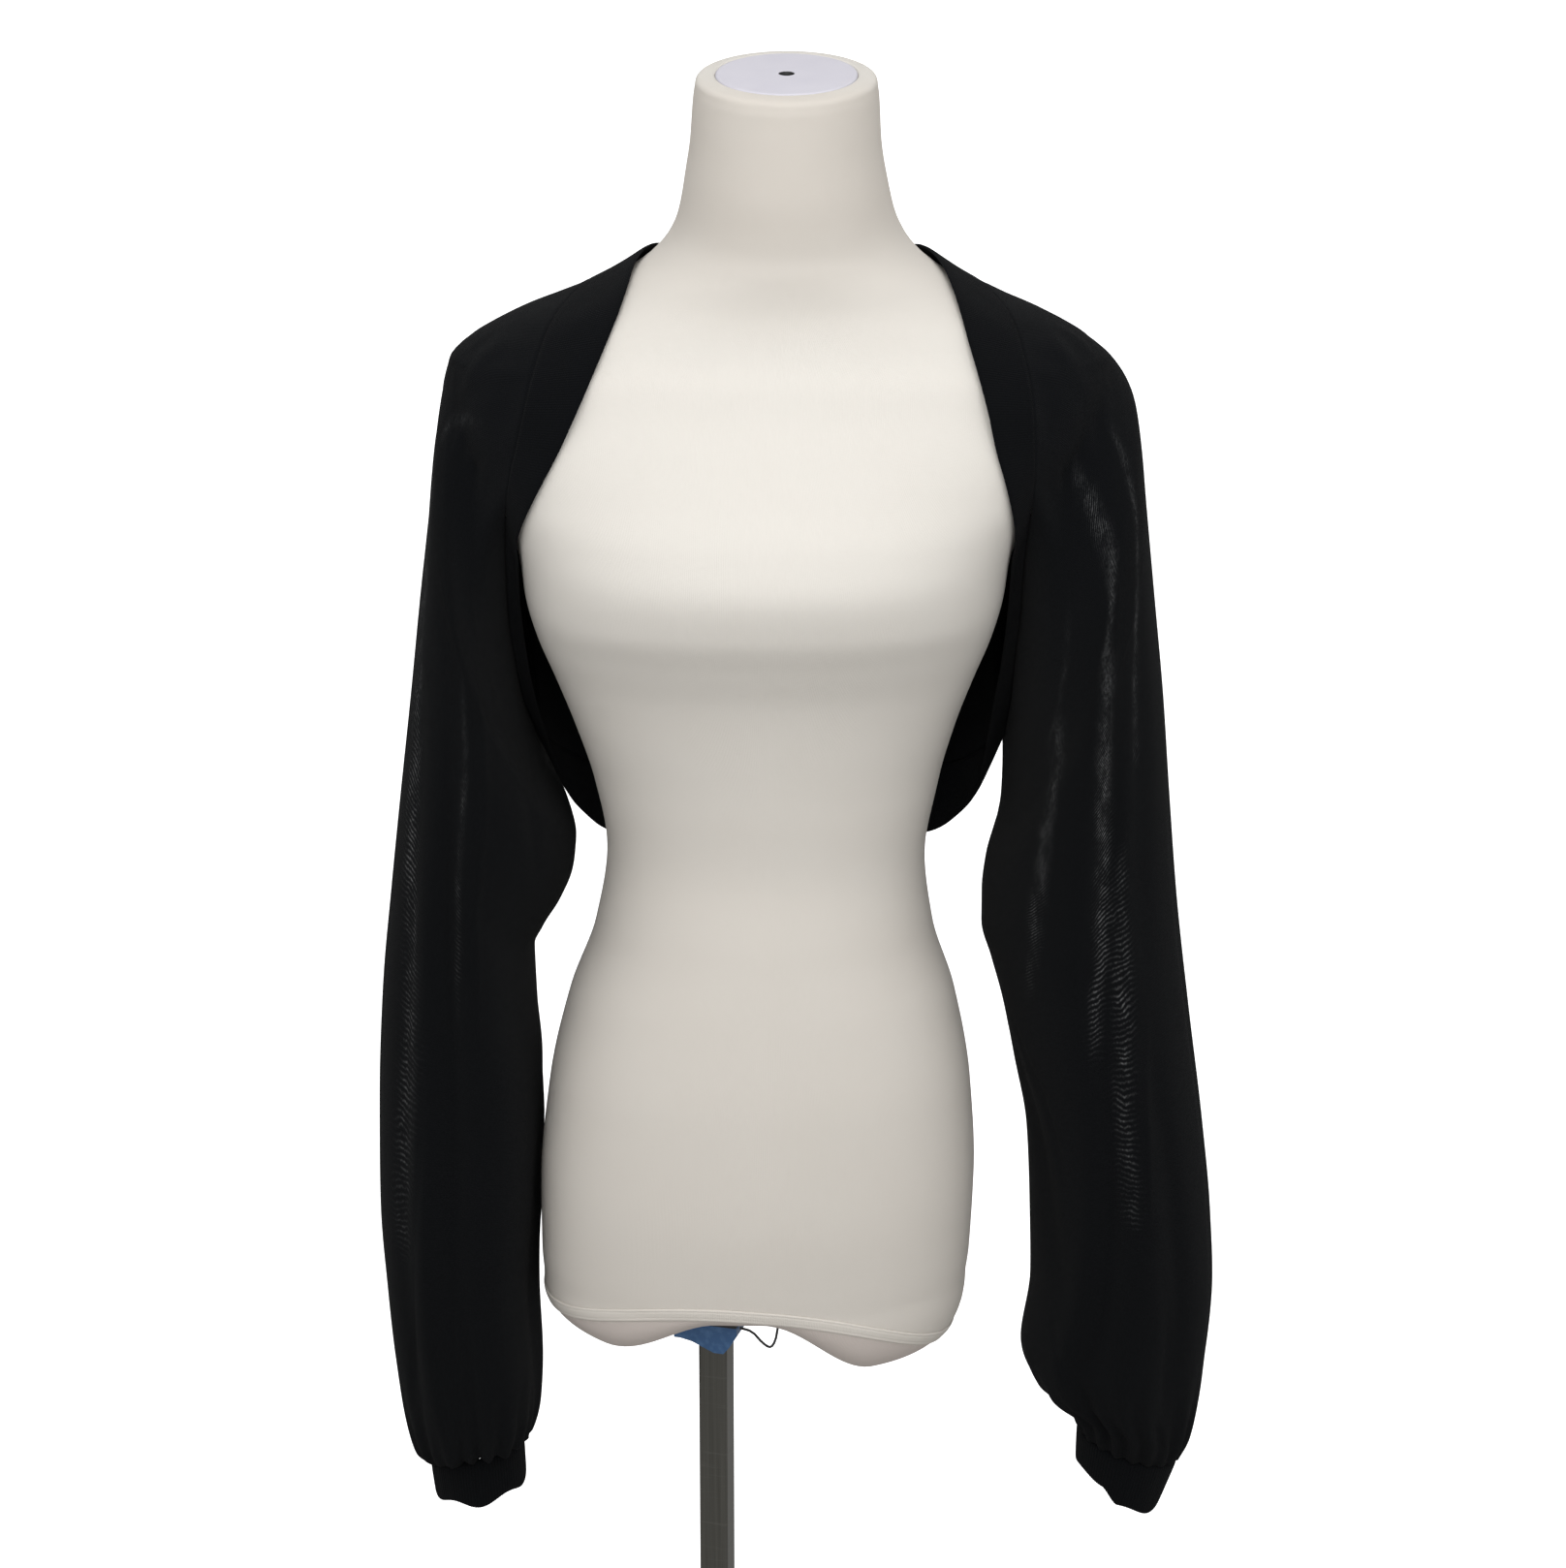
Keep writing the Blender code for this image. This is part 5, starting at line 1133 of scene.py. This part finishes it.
def relief(start, height, distance):
    """Turn a height into a normal; the distance is in metres."""
    return start.node("ShaderNodeBump", {}, {"Strength": 1.0, "Distance": distance, "Height": height})


def span(value, low, high):
    """Stretch the part of a value between two levels to 0 to 1."""
    return value.node("ShaderNodeMapRange", {}, {"Value": value, "From Min": low, "From Max": high})


print("patterns ready")

# %% [markdown]
# ## Fine black knit
# The shrug is a fine viscose knit, nearly black and dull. Painted shade makes it a little darker in the
# grooves between its loops. Where a sleeve is pulled tight over a fold the knit opens and light comes
# through it, and that light is painted into its colour as short pale rungs that waver down the fold.
# The rungs are the cloth's own courses, so they are drawn from the same flat coordinates, broken up by
# noise and kept to the streak marks. A shiny finish would be wrong here: the loops face every way, so
# there is almost no highlight.

# %% Black knit
BLACK, RUNG_LIGHT = (0.0040, 0.0046, 0.0056, 1.0), (0.30, 0.305, 0.31, 1.0)
WALE, COURSE, RUNG_STEP, RUNG_WAVER, RUNG_SHARPNESS = 0.0011, 0.0009, 0.0026, 3.2, 3.0

knit, shader, start = begin("black_fine_knit", Roughness=0.95, Specular_IOR_Level=0.06,
                            Sheen_Weight=0.02, Sheen_Roughness=0.6)
height = knit_height(start, WALE, COURSE)
across, down = flat_way(start)
waver = speckle(start, 90.0, (1.0, 1.0, 0.35))
rungs = start.sum("SINE", (down * (1 / RUNG_STEP) + waver * RUNG_WAVER) * (2 * math.pi)) * 0.5 + 0.5
patches = span(speckle(start, 150.0, (1.0, 1.0, 0.4), 2.0), 0.42, 0.62)
threads = span(speckle(start, 900.0, (1.0, 1.0, 0.5), 1.0), 0.35, 0.7)
uneven = (patches * 0.75 + 0.25) * (threads * 0.8 + 0.2)
# Painted light: pale rungs where light shows through the open knit, kept to the streak marks
light_through_knit = mark(start, "streak") * (rungs ** RUNG_SHARPNESS) * uneven
worn = speckle(start, 24.0) * 0.5 + 0.72
# Painted shade: the knit is darker in the grooves between its loops
base = (height * worn * 0.7 + 0.3).blend((0.0022, 0.0026, 0.0033, 1.0), BLACK)
feed(shader, start, Base_Color=light_through_knit.blend(base, RUNG_LIGHT), Normal=relief(start, height, 0.00022))
for piece in (*sleeves.values(), back_piece):
    wear(piece, knit)
print("knit columns a metre:", round(1 / WALE))

# %% [markdown]
# ## Doubled band and cuffs
# The band and the cuffs are two layers of the same knit, so nothing shows
# through and they look a shade deeper. The columns run across the band, from
# its fold to its seam, and are pulled a little wider than on the sleeves.

# %% Black rib
RIB_WALE, RIB_COURSE = 0.0016, 0.0010

rib, shader, start = begin("black_band_knit", Roughness=0.95, Specular_IOR_Level=0.05,
                           Sheen_Weight=0.02, Sheen_Roughness=0.6)
height = knit_height(start, RIB_WALE, RIB_COURSE)
worn = speckle(start, 30.0) * 0.5 + 0.72
# Painted shade: the rib is darker in the grooves between its loops
base = (height * worn * 0.7 + 0.3).blend((0.0020, 0.0024, 0.0030, 1.0), (0.0038, 0.0043, 0.0052, 1.0))
feed(shader, start, Base_Color=base, Normal=relief(start, height, 0.00030))
for piece in (*cuffs.values(), band_piece):
    wear(piece, rib)
print("rib columns a metre:", round(1 / RIB_WALE))

# %% [markdown]
# ## Cream jersey
# The form's cover is a matt stretch jersey in warm cream. It is lightest on the chest. Painted shade
# turns it tan on the neck's wall and from the bust down to below the waist, where less light falls. The
# foam of the bare stubs below the hem is a pinker tan. The loops are finer than those of the shrug,
# with a soft nap, and old covers are never quite one colour, so a broad faint mottle lies over them.
# The loop tops carry a faint painted highlight, and the screw hole is painted dark as painted shade.
# The hem's stitching is the groove modelled in its strip.

# %% Cover and hem
CREAM, SHADE_TAN, FOAM = (0.735, 0.705, 0.655, 1.0), (0.665, 0.615, 0.555, 1.0), (0.62, 0.555, 0.515, 1.0)

JERSEY_WALE, JERSEY_COURSE = 0.0008, 0.0006
# Drops between which the painted shade fades: on the neck, at the neck's lit rim, and from the bust
# down to below the waist
NECK_SHADE_DROPS, LIT_RIM_DROPS, LOW_SHADE_DROPS = (0.150, 0.075), (0.006, -0.002), (0.50, 0.27)


def rise_between(up, drops):
    """Go from 0 at the first drop to 1 at the second."""
    return span(up, TOP_HEIGHT - drops[0], TOP_HEIGHT - drops[1])


jersey, shader, start = begin("cream_jersey", Specular_IOR_Level=0.12,
                              Sheen_Weight=0.04, Sheen_Roughness=0.5)
height = knit_height(start, JERSEY_WALE, JERSEY_COURSE)
up = start.node("ShaderNodeTexCoord", take=3).split()[2]
# Painted shade: tan on the neck's wall but not on its lit rim, and tan from the bust down to below the
# waist, where less light falls
neck = rise_between(up, NECK_SHADE_DROPS) * (1.0 - rise_between(up, LIT_RIM_DROPS))
low_shade = 1.0 - rise_between(up, LOW_SHADE_DROPS)
mottle = speckle(start, 22.0, detail=4.0)
tone = (neck * 0.8 + low_shade * 0.55 + (mottle - 0.5) * 0.25).blend(CREAM, SHADE_TAN)
tone = mark(start, "bare").blend(tone, FOAM)
# Painted shade: the screw hole's wall is dark
tone = mark(start, "hole").blend(tone, (0.012, 0.011, 0.010, 1.0))
# Painted highlight: the loop tops a little lighter
tone = (height * 0.05).blend(tone, (0.80, 0.78, 0.74, 1.0))
nap = speckle(start, 2600.0, detail=2.0)
feed(shader, start, Base_Color=tone, Roughness=mottle * 0.12 + 0.80,
     Normal=relief(start, height + nap * 0.6, 0.00008))
wear(cover, jersey)
wear(hem, jersey)
print("cover and hem wear", jersey.name)

# %% [markdown]
# ## Cap plastic
# The cap is a moulded disc in a cool lilac white. Moulded plastic is never
# quite level, so it has a faint orange peel and cloudy, handled roughness.

# %% Lilac plastic
plastic, shader, start = begin("lilac_plastic", Specular_IOR_Level=0.35)
cloud = speckle(start, 60.0, detail=4.0)
tone = cloud.blend((0.58, 0.565, 0.635, 1.0), (0.66, 0.645, 0.70, 1.0))
# Painted shade: the hole's wall is dark
tone = mark(start, "hole").blend(tone, (0.02, 0.02, 0.02, 1.0))
feed(shader, start, Base_Color=tone, Roughness=cloud * 0.25 + 0.35,
     Normal=relief(start, speckle(start, 700.0), 0.00004))
wear(cap, plastic)
print("cap wears", plastic.name)

# %% [markdown]
# ## Steel of the pole, the plate and the wire
# The upright is a dark square tube, brushed along its length and scuffed
# across where the form has been slid up and down it. The plate and the wire
# are darker still. Brushing is noise drawn out along the pole; the scuffs are
# noise drawn out round it.

# %% Dark steel
steel, shader, start = begin("brushed_dark_steel", Metallic=1.0)
brushed = speckle(start, 1.0, (900.0, 900.0, 9.0), 4.0)
scuffs = span(speckle(start, 1.0, (25.0, 25.0, 420.0), 3.0), 0.60, 0.75)
shade = brushed.blend((0.085, 0.083, 0.075, 1.0), (0.160, 0.157, 0.142, 1.0))
shade = (scuffs * 0.45).blend(shade, (0.20, 0.20, 0.185, 1.0))
feed(shader, start, Base_Color=shade, Roughness=brushed * 0.16 + 0.30 + scuffs * 0.12,
     Normal=relief(start, brushed + scuffs * 0.3, 0.00006))

dark, shader, start = begin("dark_plate_steel", Metallic=1.0)
grain = speckle(start, 1500.0)
shade = grain.blend((0.035, 0.035, 0.036, 1.0), (0.080, 0.080, 0.082, 1.0))
feed(shader, start, Base_Color=shade, Roughness=grain * 0.25 + 0.32,
     Normal=relief(start, grain, 0.00004))
print("steels:", steel.name, dark.name)

# %% [markdown]
# ## Blue bracket and painted base
# The bracket is blue moulded plastic with a fine grain and paler, rubbed
# patches. The base is not in the photograph; a plain dark powder coat suits
# the pole, and its fine orange peel and dulled patches keep it from looking
# like one flat colour.

# %% Bracket and base paint
blue, shader, start = begin("blue_bracket_plastic", Specular_IOR_Level=0.4)
rubbed = span(speckle(start, 240.0, detail=4.0), 0.45, 0.75)
shade = rubbed.blend((0.050, 0.135, 0.310, 1.0), (0.095, 0.210, 0.420, 1.0))
feed(shader, start, Base_Color=shade, Roughness=rubbed * 0.20 + 0.36,
     Normal=relief(start, speckle(start, 1300.0), 0.00005))

iron, shader, start = begin("base_dark_paint", Specular_IOR_Level=0.4)
dulled = speckle(start, 30.0, detail=5.0)
shade = dulled.blend((0.030, 0.030, 0.031, 1.0), (0.060, 0.060, 0.060, 1.0))
feed(shader, start, Base_Color=shade, Roughness=dulled * 0.30 + 0.35,
     Normal=relief(start, speckle(start, 1100.0), 0.00008))
for name, finish in (
    ("pole", steel), ("pole_flange", dark), ("pole_clamp", blue), ("clamp_wire", dark),
    ("base_socket", iron), ("base_plate", iron),
):
    wear(cad[name], finish)
print("stand finishes:", blue.name, iron.name)

# %% [markdown]
# ## Cut sizes
# Each sheet's flat UV map spans the size that it was cut to.

# %% [markdown]
# ## Studio
# The photograph was lit by one broad light close in front and high up, with a
# bright ceiling: the chest is brightest, and the form darkens under the bust
# and towards its hips as the light falls off. A near square panel does that,
# which a sun could not. The sky is brighter above than below, and a weak panel
# to one side gives the pole its paler face. The floor is pure white in the
# picture, so it glows, but it sends no light to the object.

# %% Floor, lights and sky
FLOOR_REACH = 60.0
floor_mesh = bpy.data.meshes.new("studio_floor")
corners = [(-FLOOR_REACH, -FLOOR_REACH, 0.0), (FLOOR_REACH, -FLOOR_REACH, 0.0),
           (FLOOR_REACH, FLOOR_REACH, 0.0), (-FLOOR_REACH, FLOOR_REACH, 0.0)]
floor_mesh.from_pydata(corners, [], [(0, 1, 2, 3)])
floor = bpy.data.objects.new("studio_floor", floor_mesh)
bpy.context.scene.collection.objects.link(floor)
floor.visible_diffuse = False
floor.visible_glossy = False
pale, _, _ = begin("floor_paint", Base_Color=(0.93, 0.93, 0.93, 1.0), Roughness=1.0,
                   Specular_IOR_Level=0.0, Emission_Color=(1.0, 1.0, 1.0, 1.0), Emission_Strength=0.9)
wear(floor, pale)


def add_panel(name, place, target, size, strength):
    """Add a square soft light that faces a target and stays out of the picture."""
    lamp = bpy.data.lights.new(name, "AREA")
    lamp.size, lamp.energy = size, strength
    light = bpy.data.objects.new(name, lamp)
    light.location = place
    light.rotation_euler = (Vector(target) - Vector(place)).to_track_quat("-Z", "Y").to_euler()
    light.visible_camera = False
    bpy.context.scene.collection.objects.link(light)


add_panel("key_light", place=(0.04, -1.10, 1.95), target=(0.03, -0.05, 1.05), size=1.7, strength=16.5)
add_panel("side_light", place=(1.6, -0.9, 0.30), target=(0.0, 0.0, 0.40), size=0.9, strength=0.7)
sky = bpy.data.worlds.new("studio_sky")
bpy.context.scene.world = sky
sky.use_nodes = True
air = Link(sky.node_tree)
upness = span(air.node("ShaderNodeTexCoord").split()[2], -0.6, 0.8)
glow = upness.blend((0.42, 0.415, 0.405, 1.0), (0.68, 0.68, 0.68, 1.0))
sky.node_tree.links.new(glow.socket, sky.node_tree.nodes["Background"].inputs["Color"])
bpy.context.scene.view_settings.view_transform = "Standard"
print("view transform:", bpy.context.scene.view_settings.view_transform)
